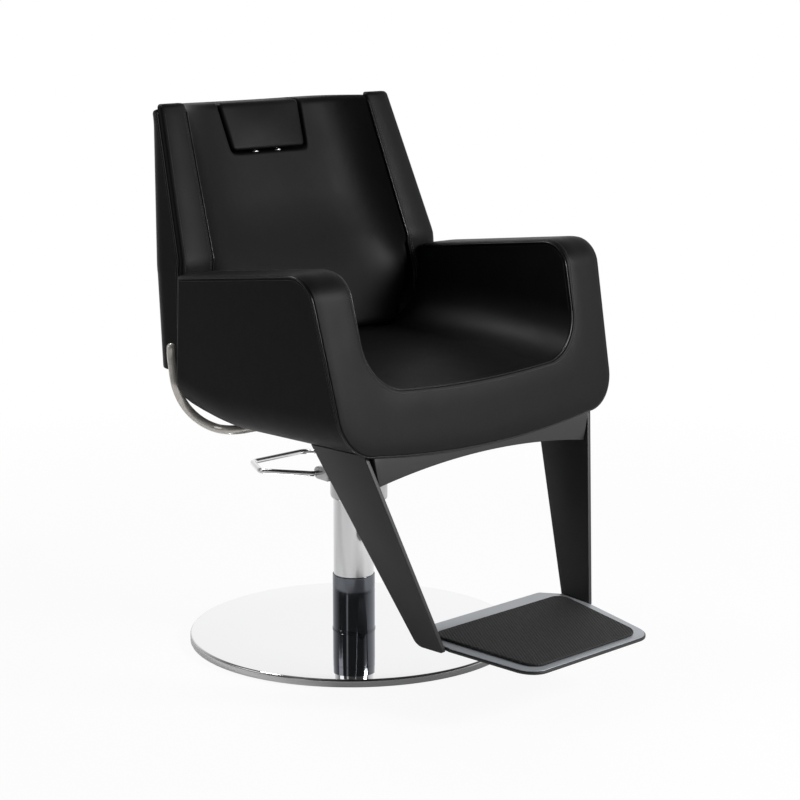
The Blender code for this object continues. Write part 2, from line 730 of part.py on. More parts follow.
def footrest_cross_bar():
    low = RAIL_Z - FIT - CROSS_T
    half = leg_inner(low) - FIT
    cross = box("footrest_cross_bar", "black_paint", (-half, RAIL_FRONT, low),
        (half, RAIL_FRONT + 0.075, low + CROSS_T))
    carry(lift, cross)
    for side, tag in ((-1, "right"), (1, "left")):
        x = side * RAIL_X
        y = RAIL_FRONT + 0.038
        head = low - FIT
        tip = RAIL_Z + 0.020
        bolt = turned(f"footrest_bolt_{tag}", "bare_steel", [
            (0, head - 0.005), (0.0075, head - 0.005), (0.0075, head), (0.004, head), (0.004, tip),
                (0, tip)], 12)
        bolt.data.transform(Matrix.Translation((x, y, 0)))
        hole = bar(f"cut_footrest_bolt_{tag}", None, (x, y, low - 0.001), (x, y, tip + FIT), 0.004 + FIT,
            12)
        cut(cross, hole)
        cut(bpy.data.objects[f"rail_{tag}"], hole)
        carry(lift, bolt)


# Back: the same curves give every layer, so the layers stay nested
def wing_front(z):
    return max(rear_y(BACK_LOW_Z) + 0.008, WING_FRONT + BACK_SLOPE * (z - BACK_TOP_Z))


def taper(low_value, top_value, z):
    """Value that runs straight from the arm's height to the top of the back."""
    low = arm_top(REAR_Y)
    share = (z - low) / (BACK_TOP_Z - low)
    return low_value + (top_value - low_value) * max(share, 0.0)


def wing_out(z):
    return taper(WING_OUT_LOW, WING_OUT_TOP, z)


def wing_in(z):
    flare = WING_FLARE * max(0.0, min(1.0, (arm_top(REAR_Y) - z) / 0.05))
    return taper(WING_IN_LOW, WING_IN_TOP, z) + flare


def rear_side(z):
    knee = BACK_TOP_Z - 0.286
    return WING_FRONT - 0.0038 + (0.16 if z > knee else 0.06) * (z - knee)


def rear_middle(z):
    return max(cushion_front(z) + CUSHION_T + BOARD_T + COVER_WALL + 0.004,
        WING_FRONT + 0.130 + 0.24 * (z - BACK_TOP_Z))


def cushion_front(z):
    lean = WING_FRONT + CUSHION_DEPTH + BACK_SLOPE * (z - BACK_TOP_Z)
    span = (z - BACK_TOP_Z + 0.371) / 0.2
    bump = 0.5 + 0.5 * math.cos(math.pi * max(-1.0, min(1.0, span)))
    return lean - LUMBAR * bump


def side_round(z):
    return min(SIDE_ROUND, rear_side(z) - wing_front(z) - WING_CAP - 0.004)


def wing_back(z):
    return max(wing_front(z) + WING_CAP + 0.002, rear_side(z) - side_round(z) - 0.002)


def cushion_half(z):
    low = TUB_Z + CUSHION_LOW
    corner = low + CUSHION_LOW_ROUND
    if z < corner:
        rise = CUSHION_LOW_ROUND ** 2 - (corner - z) ** 2
        return CUSHION_LOW_HALF - CUSHION_LOW_ROUND + math.sqrt(max(rise, 0.0))
    full = wing_in(z) - FIT
    share = min(1.0, (z - corner) / 0.06)
    return CUSHION_LOW_HALF + (full - CUSHION_LOW_HALF) * share


def cushion_face(x, z):
    """Front of the back cushion: flat in the middle, sweeping forward to the wings."""
    share = abs(x) / wing_in(z)
    return cushion_front(z) + (wing_front(z) + 0.004 - cushion_front(z)) * share ** 8


def cushion_rear(x, z):
    middle = cushion_front(z) + CUSHION_T
    share = abs(x) / wing_in(z)
    return middle + (wing_back(z) - middle) * share ** 6


def shrink(ring, amount, z):
    """Ring drawn in towards its middle, for a rounded end."""
    centre = sum(ring, Vector()) / len(ring)
    made = []
    for point in ring:
        away = Vector((point.x - centre.x, point.y - centre.y, 0))
        size = away.length
        made.append(Vector((point.x, point.y, z)) - away * min(amount / max(size, 1e-6), 0.5))
    return made


def wing_ring(z, side):
    out = wing_out(z)
    inner = wing_in(z) + FIT
    front = wing_front(z)
    back = wing_back(z)
    wall = out - COVER_WALL - FIT
    middle = 0.5 * (out + inner)
    flat = [
        (out - 0.004, front), (out, front + 0.004), (out, front + WING_CAP - 0.001),
            (wall, front + WING_CAP - 0.001),
        (wall, back), (inner, back), (inner, front + 0.004), (inner + 0.004, front),
            (middle, front - WING_CROWN)]
    return [Vector((side * x, y, z)) for x, y in flat]


def back_levels():
    """Heights shared by the wings and the cover, so their faces stay parallel."""
    low = BACK_LOW_Z + 0.006
    top = BACK_TOP_Z - 0.016
    return [low + (top - low) * i / 8 for i in range(9)]


def wings():
    made = []
    for side, tag in ((-1, "right"), (1, "left")):
        rings = [wing_ring(z, side) for z in back_levels()]
        rings.insert(0, shrink(rings[0], 0.004, BACK_LOW_Z))
        rings.append(wing_ring(BACK_TOP_Z - 0.005, side))
        rings.append(shrink(rings[-1], 0.004, BACK_TOP_Z))
        made.append(loft(f"back_wing_{tag}", "leather", rings))
    return made


def across(half, count):
    return [half * (2 * i / (count - 1) - 1) for i in range(count)]


def across_close(half, count):
    """Places across a width that lie closer together towards its edges."""
    return [half * math.sin(0.5 * math.pi * (2 * i / (count - 1) - 1)) for i in range(count)]


def cushion_rings():
    low = TUB_Z + CUSHION_LOW
    top = BACK_TOP_Z - 0.005
    levels = [low + 0.004, low + 0.012, low + 0.025, low + 0.050, low + 0.100]
    levels += [low + 0.100 + (top - 0.006 - low - 0.100) * i / 5 for i in range(1, 6)]
    rings = []
    for z in levels:
        half = cushion_half(z)
        front = [Vector((x, cushion_face(x, z), z)) for x in across_close(half, 15)]
        rear = [Vector((x, cushion_rear(x, z), z)) for x in across_close(half, 13)[::-1]]
        rings.append(front + rear)
    rings.insert(0, shrink(rings[0], 0.005, low))
    rings.append(shrink(rings[-1], 0.005, top))
    return rings


def cushion_space():
    """Cutter that follows the cushion's rear and takes away all in front of it."""
    rings = []
    for ring in cushion_rings()[1:-1]:
        front = [p - Vector((0, 0.2, 0)) for p in ring[:15]]
        rings.append(front + [p + Vector((0, FIT, 0)) for p in ring[15:]])
    rings.insert(0, [p - Vector((0, 0, 0.05)) for p in rings[0]])
    rings.append([p + SLIDE_DIR * 0.05 for p in rings[-1]])
    for ring in rings:
        ring[0].x = ring[-1].x = ring[-1].x - FIT
        ring[14].x = ring[15].x = ring[15].x + FIT
    return loft("cut_cushion_space", None, rings)


def back_cushion():
    top = BACK_TOP_Z - 0.005
    cushion = loft("back_cushion", "leather", cushion_rings())
    floor = headrest_low() - SOFT_GAP
    notch = prism("cut_headrest_notch", None, [
        (-headrest_half(floor) - SOFT_GAP, floor), (headrest_half(floor) + SOFT_GAP, floor),
        (headrest_half(top + 0.05) + SOFT_GAP, top + 0.05),
            (-headrest_half(top + 0.05) - SOFT_GAP, top + 0.05)], "Y", 0.0, 0.6)
    cut(cushion, notch)
    for tag, start, end in guide_lines():
        cut(cushion, bar(f"cut_guide_{tag}", None, end - SLIDE_DIR * FIT, start + SLIDE_DIR * 0.02,
            GUIDE_R + FIT, 16))
    return cushion


def board_ring(z, ahead=0.0, behind=0.0):
    """Plan of the board behind the cushion, thickened forward and backward for a cutter."""
    half = BOARD_HALF
    front = [Vector((x, cushion_rear(x, z) - ahead, z)) for x in across(half, 9)]
    rear = [Vector((x, cushion_rear(x, z) + BOARD_T + behind, z)) for x in across(half, 9)[::-1]]
    return front + rear


def board_levels():
    low = TUB_Z + CUSHION_LOW + 0.040
    top = BACK_TOP_Z - 0.048
    return [low + (top - low) * i / 6 for i in range(7)]


def back_board():
    board = loft("back_board", "plywood", [board_ring(z, 0.003) for z in board_levels()])
    return cut(board, cushion_space())


def cover_curve(z, inset):
    """Plan of the back cover from the left front edge round the rear to the right."""
    out = wing_out(z) - inset
    radius = side_round(z) - inset
    rear = rear_side(z) - inset
    middle = rear_middle(z) - inset
    right = [(out, wing_front(z) + WING_CAP)]
    for step in range(5):
        angle = 0.5 * math.pi * step / 4
        right.append((out - radius + radius * math.cos(angle), rear - radius + radius * math.sin(angle)))
    flat = out - radius
    for step in range(1, 6):
        share = 1 - step / 6
        right.append((flat * share, middle - (middle - rear) * share ** 4))
    left = [(-x, y) for x, y in right[::-1]]
    return right + [(0.0, middle)] + left


def lid_part(name, drop, end):
    """Cutter between the cover's sloping lid, set lower by a drop, and a level."""
    front = wing_front(BACK_TOP_Z) + WING_CAP
    start = BACK_TOP_Z - 0.0047 - drop
    near, far = front - 0.3, front + 0.4
    return prism(name, None, [
        (near, start - LID_FALL * (near - front)), (far, start - LID_FALL * (far - front)), (far, end),
            (near, end)],
        "X", -2 * TUB_HALF, 2 * TUB_HALF)


def back_cover():
    """Wrap-round cover with a closed lid that slopes to the rear, open at the bottom and in front."""
    top = BACK_TOP_Z - 0.004
    levels = [BACK_LOW_Z] + back_levels() + [top]
    outer = []
    for z in levels:
        inside = wing_out(z) - COVER_WALL
        edge = [(-inside, wing_front(z) + WING_CAP), (-inside, wing_back(z) + FIT),
            (-wing_in(z) - 0.002, wing_back(z) + FIT)]
        edge += [(-x, y) for x, y in edge[::-1]]
        outer.append([Vector((x, y, z)) for x, y in cover_curve(z, 0.0) + edge])
    outer.append(shrink(outer[-1], 0.002, top + 0.002))
    cover = loft("back_cover", "leather", outer)
    inner = []
    for z in [BACK_LOW_Z - 0.05] + levels[1:-1] + [top - COVER_WALL]:
        ring = cover_curve(max(z, BACK_LOW_Z), COVER_WALL)
        reach = wing_out(max(z, BACK_LOW_Z)) - COVER_WALL
        inner.append([Vector((x, y, z)) for x, y in ring + [(-reach, 0.0), (reach, 0.0)]])
    space = keep(loft("cut_back_space", None, inner), lid_part("cut_under_lid", COVER_WALL, TUB_Z - 0.3))
    cut(cut(cover, lid_part("cut_over_lid", 0.0, BACK_TOP_Z + 0.3)), space)
    return cut(cover, bpy.data.objects["cut_cushion_space"])


def headrest_low():
    return BACK_TOP_Z - 0.005 - HEADREST_H


def headrest_half(z):
    share = (z - headrest_low()) / HEADREST_H
    return HEAD_HALF_LOW + (HEAD_HALF_TOP - HEAD_HALF_LOW) * share


def post_line(side):
    """Point where a headrest post meets the pad's underside."""
    z = headrest_low()
    return Vector((side * POST_X, cushion_front(z) + 0.5 * (CUSHION_T - HEADREST_BACK_GAP) - 0.003, z))


def guide_lines():
    floor = headrest_low() - SOFT_GAP
    lines = []
    for side, tag in ((-1, "right"), (1, "left")):
        foot = post_line(side)
        start = foot + SLIDE_DIR * ((floor - 0.001 - foot.z) / SLIDE_DIR.z)
        lines.append((tag, start, start - SLIDE_DIR * (POST_LENGTH + 0.006)))
    return lines


def headrest():
    low = headrest_low()
    top = low + HEADREST_H
    rings = []
    for z in (low + 0.006, low + 0.03, low + 0.055, top - 0.006):
        half = headrest_half(z)
        face = cushion_front(z) - 0.001
        front = []
        for x in across(half - 0.004, 11):
            front.append(Vector((x, face - HEADREST_CROWN * (1 - (x / half) ** 2), z)))
        edge = cushion_rear(half, z) - HEADREST_BACK_GAP - 0.006
        back = [(half, face + 0.008), (half, edge)]
        back += [(x, cushion_rear(x, z) - HEADREST_BACK_GAP) for x in across(half - 0.006, 5)[::-1]]
        back += [(-half, edge), (-half, face + 0.008)]
        rings.append(front + [Vector((x, y, z)) for x, y in back])
    rings.insert(0, shrink(rings[0], 0.005, low))
    rings.append(shrink(rings[-1], 0.005, top))
    pad = loft("headrest_pad", "leather", rings)
    carried = [pad]
    for side, (tag, start, end) in zip((-1, 1), guide_lines()):
        foot = post_line(side)
        upper = foot + SLIDE_DIR * POST_IN_PAD
        lower = start - SLIDE_DIR * POST_LENGTH
        cut(pad, bar(f"cut_post_{tag}", None, foot - SLIDE_DIR * 0.02, upper + SLIDE_DIR * FIT,
            POST_R + FIT, 16))
        carried.append(bar(f"headrest_post_{tag}", "chrome", lower, upper, POST_R, 16))
    carry(slide, *carried)


def headrest_guides():
    made = []
    for tag, start, end in guide_lines():
        guide = bar(f"headrest_guide_{tag}", "bare_steel", end, start, GUIDE_R, 16)
        cut(guide, bar(f"cut_guide_bore_{tag}", None, end - SLIDE_DIR * 0.01, start + SLIDE_DIR * 0.01,
            POST_R + RUN, 16))
        made.append(guide)
    return made


# Recline hinge, crank and gas spring
def ring_outline(y, z, radius, start, end, steps=8):
    made = []
    for step in range(steps + 1):
        angle = math.radians(start + (end - start) * step / steps)
        made.append((y + radius * math.cos(angle), z + radius * math.sin(angle)))
    return made


def hinge_brackets():
    made = []
    plan = ring_outline(HINGE_Y, HINGE_Z, 0.018, -20, 200)
    fixed = [(RAIL_REAR - 0.05, RAIL_Z), (RAIL_REAR, RAIL_Z), (HINGE_Y + 0.014, RAIL_Z + 0.040)]
    fixed += plan + [(rear_y(TUB_Z + REAR_LOW) + 0.009, RAIL_Z + 0.045),
        (RAIL_REAR - 0.05, RAIL_Z + RAIL_H)]
    upper = HINGE_Z + 0.150
    front = cushion_front(upper) - 0.03
    moving = ring_outline(CRANK_Y, CRANK_Z, 0.014, 180, 380)
    moving += [(HINGE_Y + 0.021, HINGE_Z), (rear_side(upper) - 0.012, HINGE_Z + 0.060),
        (rear_side(upper) - 0.006, upper)]
    moving += [(front, upper), (front, HINGE_Z + 0.075), (HINGE_Y - 0.012, HINGE_Z + 0.066),
        (HINGE_Y - 0.018, HINGE_Z)]
    rings = [board_ring(z, 0.1, FIT) for z in board_levels()]
    rings.insert(0, [p - Vector((0, 0, FIT)) for p in rings[0]])
    board = loft("cut_bracket_board", None, rings)
    for side, tag in ((-1, "right"), (1, "left")):
        edge = side * (RAIL_X + 0.5 * RAIL_W + FIT)
        bracket = prism(f"hinge_bracket_{tag}", "black_paint", fixed, "X",
            *sorted((edge, edge + side * BRACKET_T)))
        inside = edge - side * 2 * FIT
        plate = prism(f"back_bracket_{tag}", "black_paint", moving, "X",
            *sorted((inside, inside - side * BRACKET_T)))
        ends = (edge + side * (BRACKET_T + 0.002), inside - side * (BRACKET_T + 0.002))
        pin = bar(f"hinge_pin_{tag}", "bare_steel", (ends[0], HINGE_Y, HINGE_Z),
            (ends[1], HINGE_Y, HINGE_Z), HINGE_PIN_R, 16)
        hole = bar(f"cut_hinge_pin_{tag}", None, (edge + side * 0.03, HINGE_Y, HINGE_Z),
            (edge - side * 0.03, HINGE_Y, HINGE_Z), HINGE_PIN_R + FIT, 16)
        cut(bracket, hole)
        cut(plate, hole)
        cut(plate, board)
        cut(plate, bpy.data.objects["cut_cushion_space"])
        carry(lift, bracket, pin)
        made.append(plate)
    reach = RAIL_X + 0.5 * RAIL_W - FIT - BRACKET_T - FIT
    made.append(bar("crank_bar", "bare_steel", (-reach, CRANK_Y, CRANK_Z), (reach, CRANK_Y, CRANK_Z),
        CRANK_R, 16))
    return made


def gas_spring():
    anchor = Vector((0.0, ANCHOR_Y, ANCHOR_Z))
    span = Vector((0.0, CRANK_Y, CRANK_Z)) - anchor
    along = span.normalized()
    low = PLATE_Z + PLATE_T + FIT
    fork = prism("gas_anchor", "black_paint", [
        (-0.013, low), (0.013, low), (0.013, ANCHOR_Z + 0.008), (0.007, ANCHOR_Z + 0.008),
            (0.007, low + 0.008),
        (-0.007, low + 0.008), (-0.007, ANCHOR_Z + 0.008), (-0.013, ANCHOR_Z + 0.008)], "Y",
            ANCHOR_Y - 0.010, ANCHOR_Y + 0.010)
    join(fork, bar("cut_anchor_pin", None, (-0.010, ANCHOR_Y, ANCHOR_Z), (0.010, ANCHOR_Y, ANCHOR_Z), 0.004,
        12))
    carry(lift, fork)
    body = bar("gas_cylinder", "dark_chrome", anchor + along * 0.014, anchor + along * (0.014 + GAS_BODY),
        GAS_R, 20)
    ring = ring_outline(ANCHOR_Y, ANCHOR_Z, 0.0075, 90, 270)
    tip = anchor + along * 0.018
    ring += [(tip.y, tip.z - 0.006), (tip.y, tip.z + 0.006)]
    tongue = prism("cut_gas_tongue", None, ring, "X", -0.006, 0.006)
    join(body, tongue)
    cut(body, bar("cut_gas_eye", None, (-0.02, ANCHOR_Y, ANCHOR_Z), (0.02, ANCHOR_Y, ANCHOR_Z), 0.004 + FIT,
        12))
    cut(body, bar("cut_gas_bore", None, anchor + along * 0.055, anchor + along * 0.30, GAS_ROD_R + FIT, 16))
    eye_in = CRANK_R + GAS_EYE_GAP
    eye_out = eye_in + 0.004
    stem = bar("gas_rod", "chrome", anchor + along * 0.105, anchor + along * (span.length - eye_in - 0.001),
        GAS_ROD_R, 16)
    join(stem, bar("cut_gas_rod_eye", None, (-0.005, CRANK_Y, CRANK_Z), (0.005, CRANK_Y, CRANK_Z), eye_out,
        20))
    cut(stem, bar("cut_gas_rod_hole", None, (-0.02, CRANK_Y, CRANK_Z), (0.02, CRANK_Y, CRANK_Z), eye_in,
        20))
    carry(lift, body)
    carry(gas, stem)


# Recline lever at the sitter's right
def recline_lever():
    """Bent rod whose inner end turns in a bush on the rail, under the tub."""
    bends = [
        (1.0, 0.998, 1.0), (1.0, 1.0, 0.906), (1.0, 0.976, 0.782), (1.0, 0.950, 0.658), (1.0, 0.911, 0.548),
        (0.985, 0.895, 0.431), (0.960, 0.864, 0.299), (0.935, 0.792, 0.190), (0.910, 0.680, 0.102),
            (0.889, 0.531, 0.041),
        (0.869, 0.389, 0.007), (0.853, 0.186, 0.0), (0.821, 0.063, 0.0), (0.777, 0.012, 0.0),
            (0.725, 0.0, 0.0)]
    rail = -RAIL_X - 0.5 * RAIL_W - FIT
    points = []
    for side, back, up in bends:
        points.append((-LEVER_SIDE * side, LEVER_AXIS_Y + LEVER_BACK * back, LEVER_AXIS_Z + LEVER_UP * up))
    points.append((rail - LEVER_R - 0.002, LEVER_AXIS_Y, LEVER_AXIS_Z))
    rod = pipe("recline_lever", "chrome", points, LEVER_R, 12, dome=2)
    half = 0.5 * LEVER_BUSH
    bush = box("lever_bracket", "black_paint",
               (rail - LEVER_BUSH_LENGTH, LEVER_AXIS_Y - half, LEVER_AXIS_Z - half),
               (rail, LEVER_AXIS_Y + half, LEVER_AXIS_Z + half))
    ends = [(rail - 2 * LEVER_BUSH_LENGTH, LEVER_AXIS_Y, LEVER_AXIS_Z),
        (rail - 0.001, LEVER_AXIS_Y, LEVER_AXIS_Z)]
    cut(bush, bar("cut_lever_bore", None, *ends, LEVER_R + FIT, 24))
    carry(lift, bush)
    carry(lever, rod)


for leftover in list(bpy.data.objects):
    bpy.data.objects.remove(leftover)

swivel = joint_empty("joint_seat_swivel", (0, 0, 0))
lift = joint_empty("joint_seat_lift", (0, 0, 0))
pedal = joint_empty("joint_pump_pedal", (0, PEDAL_PIVOT_Y, PEDAL_Z))
recline = joint_empty("joint_back_recline", (0, HINGE_Y, HINGE_Z))
slide = joint_empty("joint_headrest_slide", post_line(0))
gas = joint_empty("joint_gas_rod", (0, CRANK_Y, CRANK_Z))
lever = joint_empty("joint_recline_lever", (-RAIL_X - RAIL_W, LEVER_AXIS_Y, LEVER_AXIS_Z))

base_disc()
column_foot()
ram()
column_tube()
pump_head()
pump_pedal()
seat_frame()
tub()
footrest_legs()
footrest_plate()
arch_panel()
footrest_cross_bar()
carry(recline, *wings(), back_cushion(), back_board(), back_cover(), *headrest_guides(), *hinge_brackets())
headrest()
gas_spring()
recline_lever()
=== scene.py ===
"""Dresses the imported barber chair: upholstery, plated steel, painted footrest and a plain studio."""

import json
import math

import bmesh
import bpy
import numpy as np
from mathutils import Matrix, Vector


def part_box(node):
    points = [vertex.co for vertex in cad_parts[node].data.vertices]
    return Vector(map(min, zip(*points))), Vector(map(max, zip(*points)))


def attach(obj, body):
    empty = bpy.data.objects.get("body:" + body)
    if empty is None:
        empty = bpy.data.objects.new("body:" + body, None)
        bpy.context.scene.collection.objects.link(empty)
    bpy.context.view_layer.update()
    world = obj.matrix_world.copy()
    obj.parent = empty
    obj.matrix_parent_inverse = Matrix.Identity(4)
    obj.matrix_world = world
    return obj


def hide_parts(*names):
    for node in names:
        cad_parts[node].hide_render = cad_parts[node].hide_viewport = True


bl_info = {
    "name": "Barber Chair Looks",
    "version": (1, 0, 0),
    "blender": (4, 5, 0),
    "location": "3D View > Sidebar > Barber Chair",
    "description": "Builds the upholstery and finishes of a barber chair over its packed frame",
    "category": "Object",
}

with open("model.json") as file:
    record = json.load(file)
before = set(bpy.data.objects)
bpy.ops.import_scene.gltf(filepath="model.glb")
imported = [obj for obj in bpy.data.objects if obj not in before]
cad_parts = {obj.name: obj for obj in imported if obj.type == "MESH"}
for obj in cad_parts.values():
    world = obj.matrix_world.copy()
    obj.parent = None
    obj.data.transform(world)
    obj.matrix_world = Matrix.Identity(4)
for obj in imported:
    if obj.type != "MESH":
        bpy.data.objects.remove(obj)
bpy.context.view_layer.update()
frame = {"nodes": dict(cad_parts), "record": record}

# Lines of the upholstery in metres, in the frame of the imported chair
TUB_Z = 0.4342
ARM_Z = 0.7330
ARM_SLOPE = 0.112
FRONT_Y = -0.267
FRONT_LEAN = 0.227
REAR_Y = 0.0665
REAR_LEAN = 0.135
BACK_TOP = 0.9712
BACK_LOW = 0.5202
BACK_SLOPE = 0.355
WING_FRONT = 0.191

# Half widths over and between the arms at their top, and how much each narrows on the way down
OUTER_HALF, OUTER_TAPER = 0.350, 0.070
INNER_HALF, INNER_TAPER = 0.266, 0.050

# Half widths over and between the wings, at the arms' height and at the top of the back
WING_OUT = (0.310, 0.275)
WING_IN = (0.239, 0.219)

# Corner radii: at an arm's front, at a side panel's foot, and between the seat and an arm
ARM_ROUND = 0.054
PANEL_ROUND = 0.070
SEAT_ROUND = 0.090

# Heights of the seat's front edge, the back cushion's foot, the headrest's edges and its notch
SEAT_EDGE = TUB_Z + 0.0945
CUSHION_LOW = TUB_Z + 0.118
HEADREST_LOW = BACK_TOP - 0.090
HEADREST_TOP = BACK_TOP - 0.005
NOTCH_FLOOR = HEADREST_LOW - 0.005

# How far an arm's inner side reaches back past its outer side, and the seat under the cushion
ARM_REACH = 0.024
SEAT_LIP = 0.032

# How far a wing stands above the back and swells at its front, and the gap between pieces that meet
WING_RISE = 0.004
WING_SWELL = 0.0045
GAP = 0.0006

# Thickness of the back cover, and how far behind a wing's front it starts
COVER_WALL = 0.010
COVER_START = 0.0095

# Pin of the pump pedal: its distance behind the column and its height
PIN_Y, PIN_Z = 0.056, 0.304

# Rear end of the footrest's legs at their foot
HEEL_Y = -0.349

# Slope of the footplate, which falls to the front, and the place from which the fall is measured
PLATE_SLOPE, PLATE_Y = 0.080, -0.384

# Directions across the floor: from the camera past the chair, and to the camera's right
BEHIND = (0.69, 0.72, 0.0)
ASIDE = (0.72, -0.69, 0.0)

# Least brightness of the studio as metal sees it
DIM = 0.05

# Place, target and size of each lamp
LAMPS = {
    "key": ((1.2, -2.45, 1.6), (0, -0.1, 0.55), 0.8),
    "top": ((-0.4, 0.2, 3.0), (0, 0, 0.6), 2.2),
    "rim": ((-2.6, 1.6, 1.9), (0, 0, 0.6), 1.6),
    "sheen": ((-0.22, 1.3, 2.7), (0.25, -0.15, 0.6), 0.8),
}

# The photo's camera: where it stands, its turn about Z, its rise and its lens in mm
CAMERA_PLACE = (-2.6795, -2.8174, 1.2296)
CAMERA_TURN = math.radians(-44.8117)
CAMERA_RISE = math.radians(11.4536)
CAMERA_LENS = 98.99

MIRROR = np.array([-1.0, 1.0, 1.0])
SIDES = ((1, "left"), (-1, "right"))


def length(name, description, default):
    """Property of a size in metres."""
    return bpy.props.FloatProperty(name=name, description=description, default=default, unit="LENGTH")


def colour(name, description, default):
    """Property of a linear colour."""
    return bpy.props.FloatVectorProperty(name=name, description=description, default=default, subtype="COLOR")


def power(name, description, default):
    """Property of a lamp's power in watts."""
    return bpy.props.FloatProperty(name=name, description=description, default=default, unit="POWER")


class ChairSizes(bpy.types.PropertyGroup):
    """Sizes of the upholstery details."""

    band_thickness: length("Band thickness", "Depth of the padded band on the arms and front", 0.0085)
    band_crown: length("Band crown", "How far the band swells between its seams", 0.0022)
    piping: length("Piping radius", "Radius of the cord sewn into the outer seams", 0.0018)
    stitch: length("Stitch length", "Length of one visible stitch", 0.0042)
    thread: length("Thread radius", "Radius of the sewing thread", 0.00042)
    seat_crown: length("Seat crown", "How far the middle of the seat stands up", 0.006)
    grain: length("Leather grain", "Distance between two pebbles of the grain", 0.0012)
    mat_pitch: length("Mat pattern pitch", "Distance between two raised diamonds of the foot mat", 0.0062)


class ChairColours(bpy.types.PropertyGroup):
    """Colours of the finishes, as linear values."""

    leather: colour("Leather", "Black upholstery", (0.0042, 0.0042, 0.0044))
    thread: colour("Thread", "Sewing thread", (0.050, 0.050, 0.052))
    chrome: colour("Chrome", "Bright plating", (0.78, 0.78, 0.79))
    dark_chrome: colour("Dark chrome", "Dark plating of the lower sleeve", (0.17, 0.18, 0.20))
    # The rim colour is painted darker than the mirror steel, a painted reflection of dark surroundings
    rim: colour("Base rim", "Rim of the base disc", (0.60, 0.60, 0.61))
    mirror: colour("Mirror steel", "Polished base disc", (0.90, 0.90, 0.91))
    casting: colour("Casting", "Grey pump head", (0.60, 0.60, 0.61))
    paint: colour("Black paint", "Satin paint of the footrest", (0.012, 0.012, 0.0127))
    footplate: colour("Footplate steel", "Satin rim of the footplate", (0.42, 0.44, 0.47))
    rubber: colour("Rubber", "Foot mat and base pad", (0.016, 0.016, 0.016))
    floor: colour("Floor", "Studio floor", (0.86, 0.86, 0.86))


class StageLight(bpy.types.PropertyGroup):
    """Strength of the studio light."""

    key: power("Key light", "Power of the key light", 68.0)
    top: power("Top light", "Power of the top light", 4.0)
    rim: power("Rim light", "Power of the rear light", 10.0)
    sheen: power("Sheen light", "Power of the light from behind on the inner arm", 24.0)
    world: bpy.props.FloatProperty(name="World", description="Strength of the even light", default=0.25)


def sizes():
    return bpy.context.scene.chair_sizes


def colours():
    return bpy.context.scene.chair_colours


# Meshes from arrays


def unit(vectors):
    """Vectors scaled to a length of 1."""
    return vectors / np.linalg.norm(vectors, axis=-1, keepdims=True)


def join(*arrays, axis=0):
    """Arrays joined along one axis."""
    return np.concatenate(arrays, axis)


def ramp(value, span):
    """Share of a span, held between 0 and 1."""
    return np.clip(value / span, 0, 1)


def quarter(count):
    """Even angles from 0 to a right angle."""
    return np.linspace(0, 0.5 * math.pi, count)


def crowded(low, high, first, middle, last):
    """Shares from 0 to 1 with three spacings: up to low, on to high and up to the end."""
    return join(
        np.linspace(0, low, first), np.linspace(low, high, middle)[1:-1], np.linspace(high, 1, last))


def raised(flat, level):
    """Flat rings (station, point, 2), each set at its own height."""
    return join(flat, np.broadcast_to(level[:, None, None], (*flat.shape[:2], 1)), axis=-1)


def grid_faces(rows, cols, wrap_rows=False, wrap_cols=False):
    """Quads of a grid of rows by cols points, closed round in either direction."""
    i = np.arange(rows if wrap_rows else rows - 1)[:, None]
    j = np.arange(cols if wrap_cols else cols - 1)[None, :]
    corners = (
        i * cols + j,
        i * cols + (j + 1) % cols,
        (i + 1) % rows * cols + (j + 1) % cols,
        (i + 1) % rows * cols + j,
    )
    return np.stack(corners, -1).reshape(-1, 4)


def piece(name, points, faces, crease=40.0):
    """New object from points and faces, merged, facing outwards, smooth below the crease angle."""
    mesh = bpy.data.meshes.new(name)
    mesh.from_pydata(np.reshape(points, (-1, 3)).tolist(), [], [list(face) for face in faces])
    work = bmesh.new()
    work.from_mesh(mesh)
    bmesh.ops.remove_doubles(work, verts=work.verts, dist=2e-6)
    bmesh.ops.dissolve_degenerate(work, edges=work.edges, dist=1e-6)
    bmesh.ops.recalc_face_normals(work, faces=work.faces)
    work.to_mesh(mesh)
    work.free()
    mesh.polygons.foreach_set("use_smooth", np.ones(len(mesh.polygons), bool))
    mesh.set_sharp_from_angle(angle=math.radians(crease))
    made = bpy.data.objects.new(name, mesh)
    bpy.context.scene.collection.objects.link(made)
    return made


def lofted(name, rings, crease=40.0):
    """Closed solid through rings (stations, points, 3), with a flat cap at each end."""
    stations, count = rings.shape[:2]
    faces = grid_faces(stations, count, wrap_cols=True).tolist()
    faces.append(range(count))
    faces.append(range((stations - 1) * count, stations * count))
    return piece(name, rings, faces, crease)


def shell(name, outer, inner, crease=40.0):
    """Closed solid between two grids of one size, joined round their edges."""
    rows, cols = outer.shape[:2]
    half = rows * cols
    faces = grid_faces(rows, cols)
    index = np.arange(half).reshape(rows, cols)
    loop = join(index[0, :-1], index[:-1, -1], index[-1, :0:-1], index[:0:-1, 0])
    after = np.roll(loop, -1)
    rim = np.stack([loop, after, after + half, loop + half], -1)
    every = join(faces, faces[:, ::-1] + half, rim)
    return piece(name, join(outer.reshape(-1, 3), inner.reshape(-1, 3)), every.tolist(), crease)


def turned(name, profile, steps=160):
    """Solid of revolution: the closed profile of (radius, height) goes round the Z axis."""
    profile = np.asarray(profile, float)
    angle = np.linspace(0, math.tau, steps, endpoint=False)[:, None]
    radius = profile[None, :, 0]
    height = np.broadcast_to(profile[:, 1], (steps, len(profile)))
    rings = np.stack([radius * np.cos(angle), radius * np.sin(angle), height], -1)
    return piece(name, rings, grid_faces(steps, len(profile), True, True).tolist(), 30.0)


